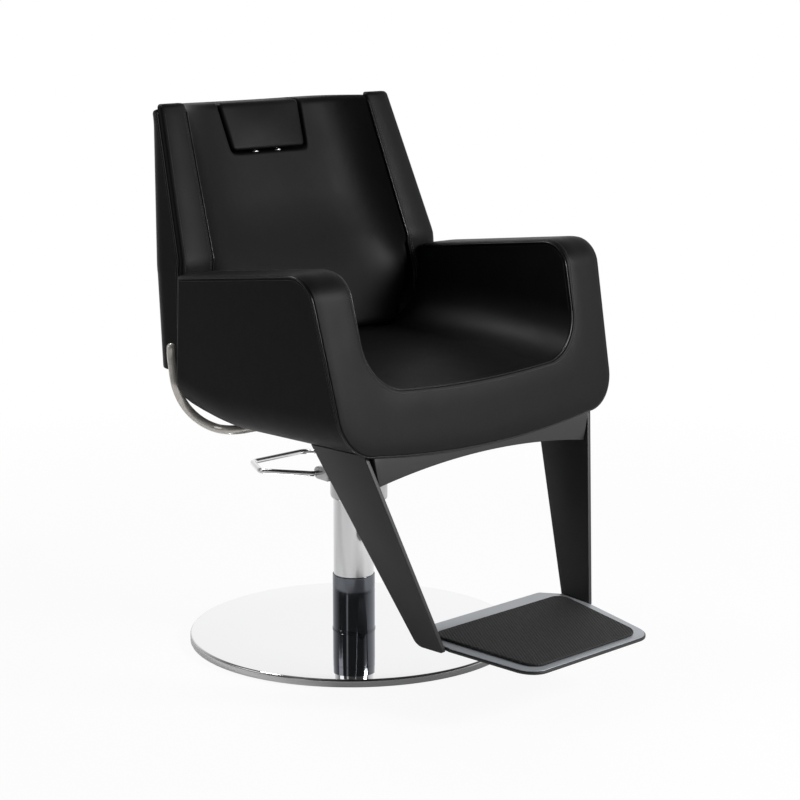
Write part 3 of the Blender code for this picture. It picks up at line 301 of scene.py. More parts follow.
def round_corners(corners, radii, steps=6):
    """Outlines (..., corner, 2) with every corner drawn as an arc of its radius that touches both sides."""
    corners = np.asarray(corners, float)
    radii = np.broadcast_to(np.asarray(radii, float), corners.shape[:-1])
    before = unit(np.roll(corners, 1, -2) - corners)
    after = unit(np.roll(corners, -1, -2) - corners)
    half = 0.5 * np.arccos(np.clip((before * after).sum(-1), -0.9999, 0.9999))
    centre = corners + unit(before + after) * (radii / np.sin(half))[..., None]
    start = corners + before * (radii / np.tan(half))[..., None] - centre
    end = corners + after * (radii / np.tan(half))[..., None] - centre
    sweep = (math.pi - 2 * half)[..., None]
    share = np.linspace(0, 1, steps)
    arc = start[..., None, :] * (np.sin((1 - share) * sweep) / np.sin(sweep))[..., None]
    arc = arc + end[..., None, :] * (np.sin(share * sweep) / np.sin(sweep))[..., None]
    return (centre[..., None, :] + arc).reshape(*corners.shape[:-2], -1, 2)


def slab_rings(outline, low, high, edge):
    """Rings (station, point, 3) of a flat plate: the outline drawn in by a quarter round at both faces."""
    ahead = np.roll(outline, -1, 0) - np.roll(outline, 1, 0)
    away = unit(np.stack([ahead[:, 1], -ahead[:, 0]], -1))
    area = np.sum(outline[:, 0] * np.roll(outline[:, 1], -1) - np.roll(outline[:, 0], -1) * outline[:, 1])
    away = away * np.sign(area)
    inset = edge * (1 - np.sin(quarter(4)))
    height = edge * (1 - np.cos(quarter(4)))
    inset = join(inset, inset[::-1])
    level = join(low + height, high - height[::-1])
    return raised(outline[None] - away[None] * inset[:, None, None], level)


def swept_tube(name, path, radius, normal, sides=20, closed=False, dome=6):
    """Round rod along a flat path, its circle set square to the path, with domed ends where it is open."""
    path = np.asarray(path, float)
    normal = np.broadcast_to(np.asarray(normal, float), path.shape)
    size = np.full(len(path), radius)
    if closed:
        along = unit(np.roll(path, -1, 0) - np.roll(path, 1, 0))
    else:
        along = unit(np.gradient(path, axis=0))
        angle = np.linspace(0.5 * math.pi, 0, dome + 1)[:-1]
        ahead = radius * np.sin(angle)[:, None]
        path = join(path[:1] - along[:1] * ahead, path, (path[-1:] + along[-1:] * ahead)[::-1])
        along, normal = (
            join(np.repeat(a[:1], dome, 0), a, np.repeat(a[-1:], dome, 0))
            for a in (along, normal))
        small = np.maximum(radius * np.cos(angle), 1e-5)
        size = join(small, size, small[::-1])
    side = np.cross(along, normal)
    turn = np.linspace(0, math.tau, sides, endpoint=False)[None, :, None]
    circle = side[:, None] * np.cos(turn) + normal[:, None] * np.sin(turn)
    rings = path[:, None] + size[:, None, None] * circle
    if not closed:
        return lofted(name, rings, 60.0)
    return piece(name, rings, grid_faces(len(path), sides, True, True).tolist(), 60.0)


def carried_normals(path):
    """Normals carried along a path: each is the first one, turned only as far as the path's tangent turns."""
    normals = [np.array([1.0, 0.0, 0.0])]
    for ahead in unit(np.gradient(path, axis=0)):
        normals.append(unit(normals[-1] - ahead * (normals[-1] @ ahead)))
    return np.array(normals[1:])


def travelled(points):
    """Distance from the first point to each of them, along their line."""
    return join([0], np.cumsum(np.linalg.norm(np.diff(points, axis=0), axis=1)))


def smooth_path(points, count):
    """Even points on a curve through the given ones, each coordinate a cubic through its neighbours."""
    points = np.asarray(points, float)
    place = travelled(points)
    slope = np.gradient(points, place, axis=0)
    at = np.linspace(0, place[-1], count)
    k = np.clip(np.searchsorted(place, at, side="right") - 1, 0, len(points) - 2)
    width = (place[k + 1] - place[k])[:, None]
    t = ((at - place[k])[:, None]) / width
    made = (2 * t**3 - 3 * t**2 + 1) * points[k] + (3 * t**2 - 2 * t**3) * points[k + 1]
    return made + width * ((t**3 - 2 * t**2 + t) * slope[k] + (t**3 - t**2) * slope[k + 1])


def along_line(path, up, pitch):
    """Middles, directions and normals of even steps of one pitch along a line of points."""
    place = travelled(path)
    count = int(place[-1] / pitch)
    at = (np.arange(count) + 0.5) * place[-1] / count

    def look(values, where):
        return np.stack([np.interp(where, place, values[:, i]) for i in range(3)], -1)

    along = look(path, at + 0.002) - look(path, at - 0.002)
    return look(path, at), unit(along), look(up, at)


def stitches(name, rows, ride):
    """Sewn rows: each stitch is a short spindle laid along its line, half sunk in the leather."""
    span, radius = sizes().stitch, sizes().thread
    rings, sides = 5, 6
    every = []
    for path, up in rows:
        path = np.asarray(path, float)
        up = np.broadcast_to(np.asarray(up, float), path.shape)
        middle, along, up = along_line(path, up, 1.3 * span)
        side = unit(np.cross(along, up))
        up = np.cross(side, along)
        t = np.array([-0.5, -0.42, 0.0, 0.42, 0.5])
        wide = np.array([0.15, 0.8, 1.0, 0.8, 0.15]) * radius
        lift = np.array([-1.0, 0.0, 0.5, 0.0, -1.0]) * radius
        turn = np.linspace(0, math.tau, sides, endpoint=False)
        centre = middle[:, None] + along[:, None] * (t * span)[:, None] + up[:, None] * lift[:, None]
        ring = side[:, None, None] * np.cos(turn)[:, None] + up[:, None, None] * np.sin(turn)[:, None]
        every.append(centre[:, :, None] + ring * wide[:, None, None])
    points = join(*every)
    starts = np.arange(len(points))[:, None] * (rings * sides)
    faces = (starts[..., None] + grid_faces(rings, sides, wrap_cols=True)).reshape(-1, 4).tolist()
    first, last = np.arange(sides), np.arange(sides) + (rings - 1) * sides
    faces += (starts + first).tolist() + (starts + last).tolist()
    dress(piece(name, points, faces, 80.0), thread_finish(), ride)


def dress(made, finish, body, replaced=()):
    """Give a piece its finish and slot, let it ride on its body and stand for CAD nodes."""
    made.data.materials.clear()
    made.data.materials.append(finish)
    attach(made, body)
    if replaced:
        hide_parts(*replaced)
    return made


def upholster(made, body, replaced):
    """Dress a padded piece in leather, in place of one CAD node."""
    dress(made, leather_finish(), body, [replaced])


def piping(name, path, normal, body):
    """Cord sewn into a seam."""
    dress(swept_tube(name, path, sizes().piping, normal, 12), cord_finish(), body)


# Finishes


def forward(operation):
    """Method that adds a Math node for a value and another one."""
    return lambda self, other: self.math(operation, self, other)


def reflected(operation):
    """The same with the two the other way round, so that 1 - value works."""
    return lambda self, other: self.math(operation, other, self)


class Value:
    """A socket of a node tree whose arithmetic adds Math nodes."""

    def __init__(self, tree, socket):
        self.tree = tree
        self.socket = socket

    def math(self, operation, first, second=None):
        """Add a Math node for one or two values."""
        node = self.tree.nodes.new("ShaderNodeMath")
        node.operation = operation
        for slot, value in zip(node.inputs, (first, second)):
            if isinstance(value, Value):
                self.tree.links.new(value.socket, slot)
            elif value is not None:
                slot.default_value = value
        return Value(self.tree, node.outputs[0])

    __add__, __radd__ = forward("ADD"), reflected("ADD")
    __sub__, __rsub__ = forward("SUBTRACT"), reflected("SUBTRACT")
    __mul__, __rmul__ = forward("MULTIPLY"), reflected("MULTIPLY")
    __truediv__, __rtruediv__ = forward("DIVIDE"), reflected("DIVIDE")
    least, most, ping_pong = forward("MINIMUM"), forward("MAXIMUM"), forward("PINGPONG")

    def __abs__(self):
        return self.math("ABSOLUTE", self)

    def clamped(self):
        """The value held between 0 and 1."""
        return self.most(0.0).least(1.0)

    def beside(self, name):
        """Another output of the node that this value comes from."""
        return Value(self.tree, self.socket.node.outputs[name])


class Nodes:
    """A node tree and one method that adds any node to it."""

    def __init__(self, tree):
        self.tree = tree

    def node(self, kind, settings=None, inputs=None, out=0):
        """Add a node: its settings first, then the values or links of its sockets; returns one output."""
        node = self.tree.nodes.new(kind)
        for key, value in (settings or {}).items():
            setattr(node, key, value)
        for key, value in (inputs or {}).items():
            self.feed(node.inputs[key], value)
        return Value(self.tree, node.outputs[out])

    def feed(self, socket, value):
        """Link a value to a socket, or set the socket to plain numbers."""
        if isinstance(value, Value):
            self.tree.links.new(value.socket, socket)
        elif hasattr(socket.default_value, "__len__") and len(socket.default_value) == 4 and len(value) == 3:
            socket.default_value = (*value, 1.0)
        else:
            socket.default_value = value

    def dot(self, vector, direction):
        """Dot product of a vector and a fixed direction."""
        return self.node(
            "ShaderNodeVectorMath", {"operation": "DOT_PRODUCT"}, {0: vector, 1: direction}, "Value")

    def rays(self):
        """Whether a ray comes from the camera, from a glossy surface or through a clear one."""
        camera = self.node("ShaderNodeLightPath", out="Is Camera Ray")
        return camera, camera.beside("Is Glossy Ray"), camera.beside("Is Transmission Ray")


class Finish(Nodes):
    """A material and its node tree, with the Principled shader at its end."""

    def __init__(self, name):
        self.material = bpy.data.materials.new(name)
        self.material.use_nodes = True
        super().__init__(self.material.node_tree)
        self.shader = self.tree.nodes["Principled BSDF"]

    def set(self, **values):
        """Feed the shader's sockets, with their names written in small letters and underscores."""
        for key, value in values.items():
            self.feed(self.shader.inputs[key.replace("_", " ").title().replace("Ior", "IOR")], value)

    def place(self, scale=(1, 1, 1)):
        """Object coordinates, scaled."""
        spot = self.node("ShaderNodeTexCoord", out="Object")
        return self.node("ShaderNodeMapping", inputs={"Vector": spot, "Scale": scale})

    def noise(self, size, detail=3.0, at=None):
        """Noise from 0 to 1 whose lumps are about one size apart."""
        return self.node("ShaderNodeTexNoise", inputs={
            "Vector": at or self.place(), "Scale": 1.0 / size, "Detail": detail})

    def mix(self, factor, first, second):
        """Colour between two colours."""
        return self.node("ShaderNodeMix", {"data_type": "RGBA"}, {0: factor, 6: first, 7: second}, out=2)

    def tint(self, factor, tone, dark, pale):
        """Base colour between a darker and a paler shade of one tone."""
        self.set(base_color=self.mix(factor, lighter(tone, dark), lighter(tone, pale)))

    def bump(self, height, depth, strength=1.0):
        """Relief of a depth in metres from a height of about 0 to 1."""
        self.set(normal=self.node("ShaderNodeBump", inputs={
            "Height": height, "Distance": depth, "Strength": strength}))


FINISHES = {}


def finish(name):
    """Lets a function that fills in a material return the one of that name, built at its first call."""
    def wrap(build):
        def made(*values):
            if name not in FINISHES:
                new = Finish(name)
                build(new, *values)
                FINISHES[name] = new.material
            return FINISHES[name]
        return made
    return wrap


def lighter(tone, factor):
    """A colour times a factor, held within 1."""
    return tuple(min(1.0, c * factor) for c in tone)


@finish("black_leather")
def leather_finish(m):
    """Pebbled leather: small rounded cells with pores, faint creases and a cloudy gloss."""
    pebble = m.node("ShaderNodeTexVoronoi", {"feature": "SMOOTH_F1"}, {
        "Vector": m.place(), "Scale": 1.0 / sizes().grain, "Smoothness": 0.6}, out="Distance")
    pores = m.noise(0.5 * sizes().grain, 2.0)
    cloud = m.noise(0.05)
    crease = m.noise(0.012, 4.0, m.place((1.0, 1.0, 0.35)))
    m.tint(cloud * 0.7, colours().leather, 0.85, 1.3)
    m.set(roughness=0.33 + 0.15 * cloud + 0.10 * pebble, specular_ior_level=0.12)
    m.bump(1.0 - pebble + 0.35 * pores + 1.3 * crease, 0.00026, 0.6)


@finish("piping_leather")
def cord_finish(m):
    """Piping: the same leather drawn smooth over a cord, so glossier than the panels."""
    cloud = m.noise(0.02)
    m.tint(cloud, colours().leather, 0.9, 1.5)
    m.set(roughness=0.20 + 0.08 * cloud, specular_ior_level=0.35)


@finish("sewing_thread")
def thread_finish(m):
    """Sewing thread: a fine twist in its tone, gloss and relief."""
    twist = m.noise(0.0008, 2.0)
    m.tint(twist, colours().thread, 0.7, 1.6)
    m.set(roughness=0.5 + 0.2 * twist)
    m.bump(twist, 0.0002, 0.5)


def metal_finish(name, tone, rough, spread, wear):
    """Plated or bare metal: faint smears in its gloss and very fine wiping marks."""
    @finish(name)
    def build(m):
        smear = m.noise(0.06, 4.0)
        wipe = m.noise(0.003, 3.0, m.place((1.0, 1.0, 0.05)))
        m.tint(smear, tone, 0.96, 1.03)
        m.set(metallic=1.0, roughness=rough + spread * smear + wear * wipe)
    return build()


def bronze_finish():
    return metal_finish("turned_bronze", (0.55, 0.38, 0.20), 0.30, 0.06, 0.08)


def bare_steel_finish():
    return metal_finish("bare_steel", (0.44, 0.44, 0.45), 0.34, 0.08, 0.06)


def chrome_finish():
    return metal_finish("bright_chrome", colours().chrome, 0.05, 0.03, 0.02)


def dark_chrome_finish():
    return metal_finish("dark_plating", colours().dark_chrome, 0.05, 0.03, 0.02)


@finish("satin_chrome")
def satin_chrome_finish(m):
    """Satin plating of the lever: soft reflections over a pale ground."""
    smear = m.noise(0.02)
    m.set(metallic=0.55, roughness=0.20 + 0.08 * smear)
    m.set(base_color=m.mix(smear, (0.62, 0.59, 0.55), (0.70, 0.67, 0.63)))


@finish("mirror_steel")
def disc_finish(m, top):
    """Mirror polish on the flat of the base, and duller steel on its rim whose colour is painted darker as a
    painted reflection of dark surroundings.
    """
    smear = m.noise(0.06, 4.0)
    height = m.node("ShaderNodeSeparateXYZ", inputs={0: m.place()}, out="Z")
    flat = ((height - top + 0.0013) / 0.0008).clamped()
    # Painted reflection: the rim's darker colour stands in for the dark surroundings that this band of steel
    # mirrors; its higher roughness is real
    m.set(base_color=m.mix(flat, tuple(colours().rim), tuple(colours().mirror)))
    m.set(metallic=1.0, roughness=0.16 - 0.14 * flat + 0.02 * smear)


@finish("pump_casting")
def casting_finish(m):
    """Cast metal: fine grit under a cloudy gloss."""
    grit = m.noise(0.0012)
    cloud = m.noise(0.03)
    m.tint(cloud, colours().casting, 0.92, 1.06)
    m.set(metallic=1.0, roughness=0.30 + 0.10 * cloud)
    m.bump(grit, 0.00012, 0.4)


@finish("black_satin_paint")
def paint_finish(m):
    """Satin paint: a fine orange peel under a cloudy gloss."""
    peel = m.noise(0.0018, 2.0)
    cloud = m.noise(0.08)
    m.tint(cloud, colours().paint, 0.9, 1.15)
    m.set(roughness=0.40 + 0.08 * cloud + 0.05 * peel)
    m.bump(peel, 0.00008, 0.5)


@finish("footplate_steel")
def satin_steel_finish(m):
    """Brushed steel: streaks along X."""
    brush = m.noise(0.0012, 3.0, m.place((0.04, 1.0, 1.0)))
    cloud = m.noise(0.05)
    m.tint(brush, colours().footplate, 0.9, 1.1)
    m.set(metallic=0.45, roughness=0.30 + 0.10 * brush + 0.06 * cloud)
    m.bump(brush, 0.00005, 0.5)


@finish("mat_rubber")
def mat_finish(m):
    """Rubber with rows of small raised diamonds: two crossed saw waves, the lower one kept. Its colour is
    painted darker in the hollows and lighter on the diamonds, as painted shade and painted highlight.
    """
    x = m.node("ShaderNodeSeparateXYZ", inputs={"Vector": m.place()}, out="X")
    y = x.beside("Y")
    half, slant = 0.5 * sizes().mat_pitch, 0.62
    stud = (x + y * slant).ping_pong(half).least((x - y * slant).ping_pong(half)) / half
    grit = m.noise(0.0015, 2.0)
    # Painted shade and highlight: the colour runs from dark in the hollows to pale on the raised diamonds,
    # following their height
    m.tint(stud, colours().rubber, 0.45, 1.5)
    m.set(roughness=0.72 - 0.12 * stud + 0.08 * grit)
    m.bump(stud + 0.08 * grit, 0.0012, 0.9)


@finish("pad_rubber")
def rubber_finish(m):
    """Plain rubber with a fine grit."""
    grit = m.noise(0.002)
    m.tint(grit, colours().rubber, 0.8, 1.2)
    m.set(roughness=0.65 + 0.15 * grit)
    m.bump(grit, 0.0001, 0.4)


@finish("birch_plywood")
def plywood_finish(m):
    """Stained birch plywood: long streaks along X and thin darker plies by height."""
    streak = m.noise(0.006, 4.0, m.place((0.08, 1.0, 1.0)))
    ply = m.node("ShaderNodeTexWave", {"wave_type": "BANDS", "bands_direction": "Z"}, {
        "Vector": m.place(), "Scale": 120.0, "Distortion": 0.4})
    m.set(base_color=m.mix(streak * 0.7 + 0.3 * ply, (0.020, 0.017, 0.014), (0.040, 0.034, 0.028)))
    m.set(roughness=0.62 + 0.12 * streak)
    m.bump(streak, 0.0002, 0.4)


# Lines of the upholstery


def front_y(z):
    """Front of the tub: straight, further forward towards its foot."""
    return FRONT_Y - FRONT_LEAN * (ARM_Z - z)


def arm_top(y):
    """Top of an arm, which falls straight to the rear."""
    return ARM_Z - ARM_SLOPE * (y - FRONT_Y)


def rear_y(z):
    """Rear of an arm: straight, further back towards its foot."""
    return REAR_Y + REAR_LEAN * (arm_top(0.0) - z)


def outer_half(z):
    """Half width over the arms, which narrows straight towards the foot."""
    return OUTER_HALF - OUTER_TAPER * (ARM_Z - z)


def inner_half(z):
    """Half width between the arms, which narrows straight towards the seat."""
    return INNER_HALF - INNER_TAPER * (ARM_Z - z)


def roll(distance, radius):
    """Drop of a quarter round near an edge: 0 at one radius from it, one radius at the edge itself."""
    short = np.clip(radius - distance, 0.0, radius)
    return radius - np.sqrt(radius**2 - short**2)


def arm_corner():
    """Outward normals of an arm's top and front in the side plane, and the centre of the arc between them."""
    top = np.array([ARM_SLOPE, 1.0]) / math.hypot(ARM_SLOPE, 1.0)
    front = np.array([-1.0, FRONT_LEAN]) / math.hypot(1.0, FRONT_LEAN)
    return top, front, np.array([FRONT_Y, ARM_Z]) - ARM_ROUND * (top + front) / (1 + top @ front)


def under_band(y, z, depth):
    """Top and front line of a piece one depth under the band, for places y and heights z, round between."""
    top, front, centre = arm_corner()
    radius = ARM_ROUND - depth
    roof = arm_top(np.maximum(y, centre[0] + radius * top[0])) - depth * math.hypot(1, ARM_SLOPE)
    straight = front_y(z) + depth * math.hypot(1, FRONT_LEAN)
    arc = centre[0] - np.sqrt(np.maximum(radius**2 - (z - centre[1]) ** 2, 0))
    return roof, np.where(z > centre[1] + radius * front[1], arc, straight)


def band_lines():
    """Outer edge, inner edge, outward normal and end inset of the band, from one arm's end to the other.

    The side line runs along the arm, round the front corner and down the front. On the front the two edges
    follow the outer and the inner U of the tub, each with its own corner arc.
    """
    arm_normal, front_normal, centre = arm_corner()
    radius, end = ARM_ROUND, 0.010
    rear = rear_y(arm_top(REAR_Y))
    angle = np.linspace(0.5 * math.pi, 0, 7)
    inset = end * (1 - np.cos(angle))
    straight = np.linspace(rear - end, centre[0] + radius * arm_normal[0], 26)[1:]
    y = join(rear - end + end * np.sin(angle), straight)
    bend = np.linspace(*(math.atan2(n[1], n[0]) for n in (arm_normal, front_normal)), 14)[1:]
    z_down = centre[1] + radius * front_normal[1]
    z = join(arm_top(y), centre[1] + radius * np.sin(bend))
    around = np.stack([np.cos(bend), np.sin(bend)], -1)
    normal = join(np.repeat(arm_normal[None], len(y), 0), around)
    y = join(y, centre[0] + radius * np.cos(bend))
    edges = []
    for half, low, size, dip in (
            (outer_half, TUB_Z, PANEL_ROUND, 0.017), (inner_half, SEAT_EDGE, SEAT_ROUND, 0.006)):
        down = np.linspace(z_down, low + size, 17)[1:]
        middle = half(low + size) - size
        turn = quarter(19)[1:]
        share = np.linspace(1, 0, 22)[1:]
        x_all = join(half(z), half(down), middle + size * np.cos(turn), middle * share)
        z_all = join(z, down, low + size - size * np.sin(turn), low - dip * (1 - share**2))
        y_all = join(y, front_y(z_all[len(y):]))
        edges.append(np.stack([x_all, y_all, z_all], -1))
    arm = edges[1][:len(y) - len(bend)]
    arm[:, 1] += ARM_REACH * ramp(arm[:, 1] + 0.06, rear + 0.06) ** 1.5
    arm[:, 2] = arm_top(arm[:, 1])
    arm[:, 0] = inner_half(arm[:, 2])
    count = len(edges[0])
    facing = np.repeat(front_normal[None], count, 0)
    facing[:len(normal)] = normal
    facing = join(np.zeros((count, 1)), facing, axis=-1)
    inset = join(inset, np.zeros(count - len(inset)))
    outer, inner, facing = (join(a, (a * MIRROR)[-2::-1]) for a in (*edges, facing))
    return outer, inner, facing, join(inset, inset[-2::-1])


def band_rings(outer, inner, normal, inset):
    """Rings of the band: a plump strip with round edges, set across its two edges and out by the normal."""
    depth, crown = sizes().band_thickness, sizes().band_crown
    edge_out, edge_in = 0.003, 0.0035
    across = inner - outer
    width = np.linalg.norm(across, axis=-1, keepdims=True)
    across = across / width
    ones = np.ones_like(width)
    angle = quarter(7)
    share = np.linspace(0, 1, 20)[1:-1]
    lip, low = 0.0005, outer[:, 2:]
    # Between the side panels the band is deeper, and beside them its rear steps in to leave them room
    room, tuck = 0.0135, 0.003
    free = ramp(0.20 - np.abs(outer[:, :1]), 0.03) * (low < TUB_Z + 0.05)
    deep = depth + room * free
    step = (1 - free) * (room + np.maximum(TUB_Z - low, 0))
    a = join(
        step, step, 0 * step, ones * edge_out * (1 - np.cos(angle)),
        edge_out + (width - edge_out - edge_in) * share,
        width - edge_in * (1 - np.cos(angle[::-1])), width, width - tuck, width - tuck, axis=-1)
    n = join(
        -deep, ones * (-edge_out - lip), ones * (-edge_out - lip), ones * edge_out * (np.sin(angle) - 1),
        ones * crown * (1 - (2 * share - 1) ** 4), ones * edge_in * (np.sin(angle[::-1]) - 1),
        ones * (-edge_in - lip), ones * (-edge_in - lip), ones * -depth, axis=-1)
    inset = inset[:, None]
    a = np.clip(a, inset, width - inset)
    n = np.clip(n, inset - deep, crown - inset)
    return outer[:, None] + across[:, None] * a[..., None] + normal[:, None] * n[..., None]


def seat_floor(y):
    """Height of the seat: a parabola that rises from the front edge and is level at the rear."""
    start, span, rise = -0.31, 0.44, 0.022
    share = ramp(y - start, span)
    return SEAT_EDGE + rise * (1 - (1 - share) ** 2)


def mirrored(x, y, z):
    """Grid of the left half and its mirror image, joined at the middle column."""
    left = np.stack([x, y, z], -1)
    return join(left, (left * MIRROR)[:, -2::-1], axis=1)


def seat_grids():
    """Upper and lower grid of the seat: across it arm side, corner arc and floor, along it front to rear."""
    depth = sizes().band_thickness - 0.0048
    edge, wall, bevel, low = 0.003, 0.029, 0.02, TUB_Z + 0.0510
    v = crowded(0.03, 0.95, 8, 44, 5)[:, None]
    side = join(np.linspace(0, 0.08, 6), np.linspace(0.08, 1, 14)[1:])[None]
    turn = quarter(15)[None, 1:]
    share = np.linspace(1, 0, 18)[None, 1:]
    y = -0.29 + 0.37 * v * np.ones((1, side.size + turn.size + share.size))
    z = 0 * y
    # Places and heights lean on each other, so four rounds settle them
    for _ in range(4):
        floor = seat_floor(y)
        corner = floor + SEAT_ROUND
        middle = inner_half(corner) - SEAT_ROUND
        top = under_band(y, z, depth)[0]
        i, j = side.size, side.size + turn.size
        z_side = top[:, :i] - (top - corner)[:, :i] * side
        crown = sizes().seat_crown * np.sin(math.pi * ramp(y + 0.33, 0.46)) ** 1.2
        dip = 0.006 * ramp(-0.2 - y, 0.1)
        z_turn = corner[:, i:j] - SEAT_ROUND * np.sin(turn)
        z_floor = floor[:, j:] + (crown - dip)[:, j:] * (1 - share**2)
        z = join(z_side, z_turn, z_floor, axis=1)
        first = under_band(y, z, depth)[1]
        reach = np.minimum(ARM_REACH, wing_front(z) - 0.0015 - rear_y(z))
        hold = join(1 + 0 * side, np.cos(turn), 0 * share, axis=1)
        last = rear_y(z) - 0.0008 + reach * hold + SEAT_LIP * (1 - hold)
        y = first + (last - first) * v
    x = join(
        inner_half(z_side), middle[:, i:j] + SEAT_ROUND * np.cos(turn), middle[:, j:] * share, axis=1)
    on_side = np.arange(z.shape[1]) < i
    tuck = np.maximum(roll(y - first, edge), roll((top - z) * on_side, edge) * on_side)
    lean = join(0 * side, np.sin(turn), 0 * share + 1, axis=1)
    x = x + tuck * (1 - lean)
    z = z - tuck * lean
    beyond = y - rear_y(z)
    z = z - 0.004 * ramp(beyond + 0.012, 0.02) * lean
    under_side = np.maximum(z_side, low)
    foot = outer_half(low)
    x_low = join(
        outer_half(under_side) - wall, foot - wall - bevel * np.sin(turn) + 0 * corner[:, i:j],
        (foot - (wall + bevel)) * share + 0 * corner[:, j:], axis=1)
    z_low = join(under_side, low + 0 * corner[:, i:], axis=1)
    lip = ramp(beyond + 0.006, 0.004) * lean
    z_low = z_low + (np.maximum(z - 0.012, z_low) - z_low) * lip
    return mirrored(x, y, z), mirrored(x_low, y, z_low)


def panel_grids(side):
    """Outer and inner grid of a side panel: across it underside, arc and side, along it front to rear."""
    depth = sizes().band_thickness - 0.0047
    edge, rear_edge, wall, inner_end = 0.003, 0.006, 0.012, 0.200
    v = crowded(0.03, 0.97, 7, 40, 7)[:, None]
    under = np.linspace(0, 1, 8)[None, :-1]
    turn = quarter(16)[None]
    up = join(np.linspace(0, 0.95, 20)[1:], np.linspace(0.95, 1, 7)[1:])[None]
    grids = []
    for inset in (0.0, wall):
        y = -0.29 + 0.37 * v * np.ones((1, under.size + turn.size + up.size))
        z = 0 * y
        size = PANEL_ROUND - inset
        for _ in range(4):
            floor = TUB_Z + 0.040 * ramp(y + 0.05, 0.18) ** 2 + inset
            corner = floor + size
            middle = outer_half(corner) - inset - size
            top = under_band(y, z, depth)[0]
            i, j = under.size, under.size + turn.size
            x_under = inner_end + (middle[:, :i] - inner_end) * under
            x_turn = middle[:, i:j] + size * np.sin(turn)
            z_turn = corner[:, i:j] - size * np.cos(turn)
            z_up = corner[:, j:] + (top - corner)[:, j:] * up
            z = join(floor[:, :i], z_turn, z_up, axis=1)
            first = under_band(y, z, depth)[1]
            # The rear edge is the smooth minimum of the arm's rear line and a slanting line at the foot
            rear, low_rear, blend = rear_y(z) - 0.0008, -0.020 + 3.1 * (z - TUB_Z + 0.004), 0.010
            last = -blend * np.log(np.exp(-rear / blend) + np.exp(-low_rear / blend))
            y = first + (last - first) * v
        x = join(x_under, x_turn, outer_half(z_up) - inset, axis=1)
        if inset == 0.0:
            column = np.arange(z.shape[1])
            tuck = np.maximum(roll(y - first, edge), roll(last - y, rear_edge))
            tuck = np.maximum(tuck, roll(np.where(column >= j, top - z, 1.0), edge))
            lean = join(0 * under, np.sin(turn), 0 * up + 1, axis=1)
            x = x - tuck * lean
            z = z + tuck * (1 - lean)
        grids.append(np.stack([side * x, y, z], -1))
    return grids


def wing_front(z):
    """Front of a wing: straight along the back's slope, then upright behind the arms."""
    return np.maximum(rear_y(BACK_LOW) + 0.008, WING_FRONT + BACK_SLOPE * (z - BACK_TOP))


def taper(low_value, top_value, z):
    """Value that runs straight from the height of the arms to the top of the back."""
    low = arm_top(REAR_Y)
    return low_value + (top_value - low_value) * np.maximum((z - low) / (BACK_TOP - low), 0.0)


def wing_out(z):
    """Half width over the wings, tapering to the top."""
    return taper(*WING_OUT, z)


def wing_in(z):
    """Half width between the wings, tapering to the top and flared beside the arms."""
    flare, reach = 0.016, 0.05
    return taper(*WING_IN, z) + flare * ramp(arm_top(REAR_Y) - z, reach)


def rear_side(z):
    """Rear of the back at its sides: two straight slopes that meet at a knee."""
    knee, upper, lower = BACK_TOP - 0.286, 0.16, 0.06
    return WING_FRONT - 0.0038 + np.where(z > knee, upper, lower) * (z - knee)


def cushion_front(z):
    """Front of the cushion's middle: the back's slope with a cosine swell low down."""
    hollow, swell, drop, reach = 0.059, 0.022, 0.371, 0.2
    span = np.clip((z - BACK_TOP + drop) / reach, -1, 1)
    bump = 0.5 + 0.5 * np.cos(math.pi * span)
    return WING_FRONT + hollow + BACK_SLOPE * (z - BACK_TOP) - swell * bump


def rear_middle(z):
    """Rear of the back in its middle: straight, but never too near the cushion's front."""
    depth, behind, slope = 0.066, 0.130, 0.24
    return np.maximum(cushion_front(z) + depth, WING_FRONT + behind + slope * (z - BACK_TOP))


def side_round(z):
    """Radius of the cover's corners, less where the back is thin."""
    largest, wall = 0.035, 0.013
    return np.minimum(largest, rear_side(z) - wing_front(z) - wall)


def wing_back(z):
    """Rear of a wing: just before the cover's corner arc, but never less deep than its front strip."""
    strip, space = 0.011, 0.002
    return np.maximum(wing_front(z) + strip, rear_side(z) - side_round(z) - space)


def cushion_face(x, z):
    """Front of the back cushion: flat in the middle, sweeping forward to the wings by the fifth power."""
    front = cushion_front(z)
    return front + (wing_front(z) + 0.0005 - front) * (np.abs(x) / wing_in(z)) ** 5


def cushion_rear(x, z):
    """Rear of the cushion: one depth behind its front in the middle, out to the wings by the sixth power."""
    depth = 0.042
    middle = cushion_front(z) + depth
    return middle + (wing_back(z) - middle) * (np.abs(x) / wing_in(z)) ** 6


def cushion_half(z):
    """Half width of the cushion: a corner arc at its foot, then out to the wings."""
    radius, flat, side, reach = 0.100, 0.146, 0.246, 0.06
    corner = CUSHION_LOW + radius
    bottom = flat + np.sqrt(np.maximum(radius**2 - np.maximum(corner - z, 0) ** 2, 0.0))
    share = ramp(z - corner, reach)
    return np.where(z < corner, bottom, side + (wing_in(z) - GAP - side) * share)


def headrest_half(z):
    """Half width of the headrest, which grows straight from its foot to its top."""
    foot, growth = 0.0875, 0.0080
    return foot + growth * (z - HEADREST_LOW) / (HEADREST_TOP - HEADREST_LOW)


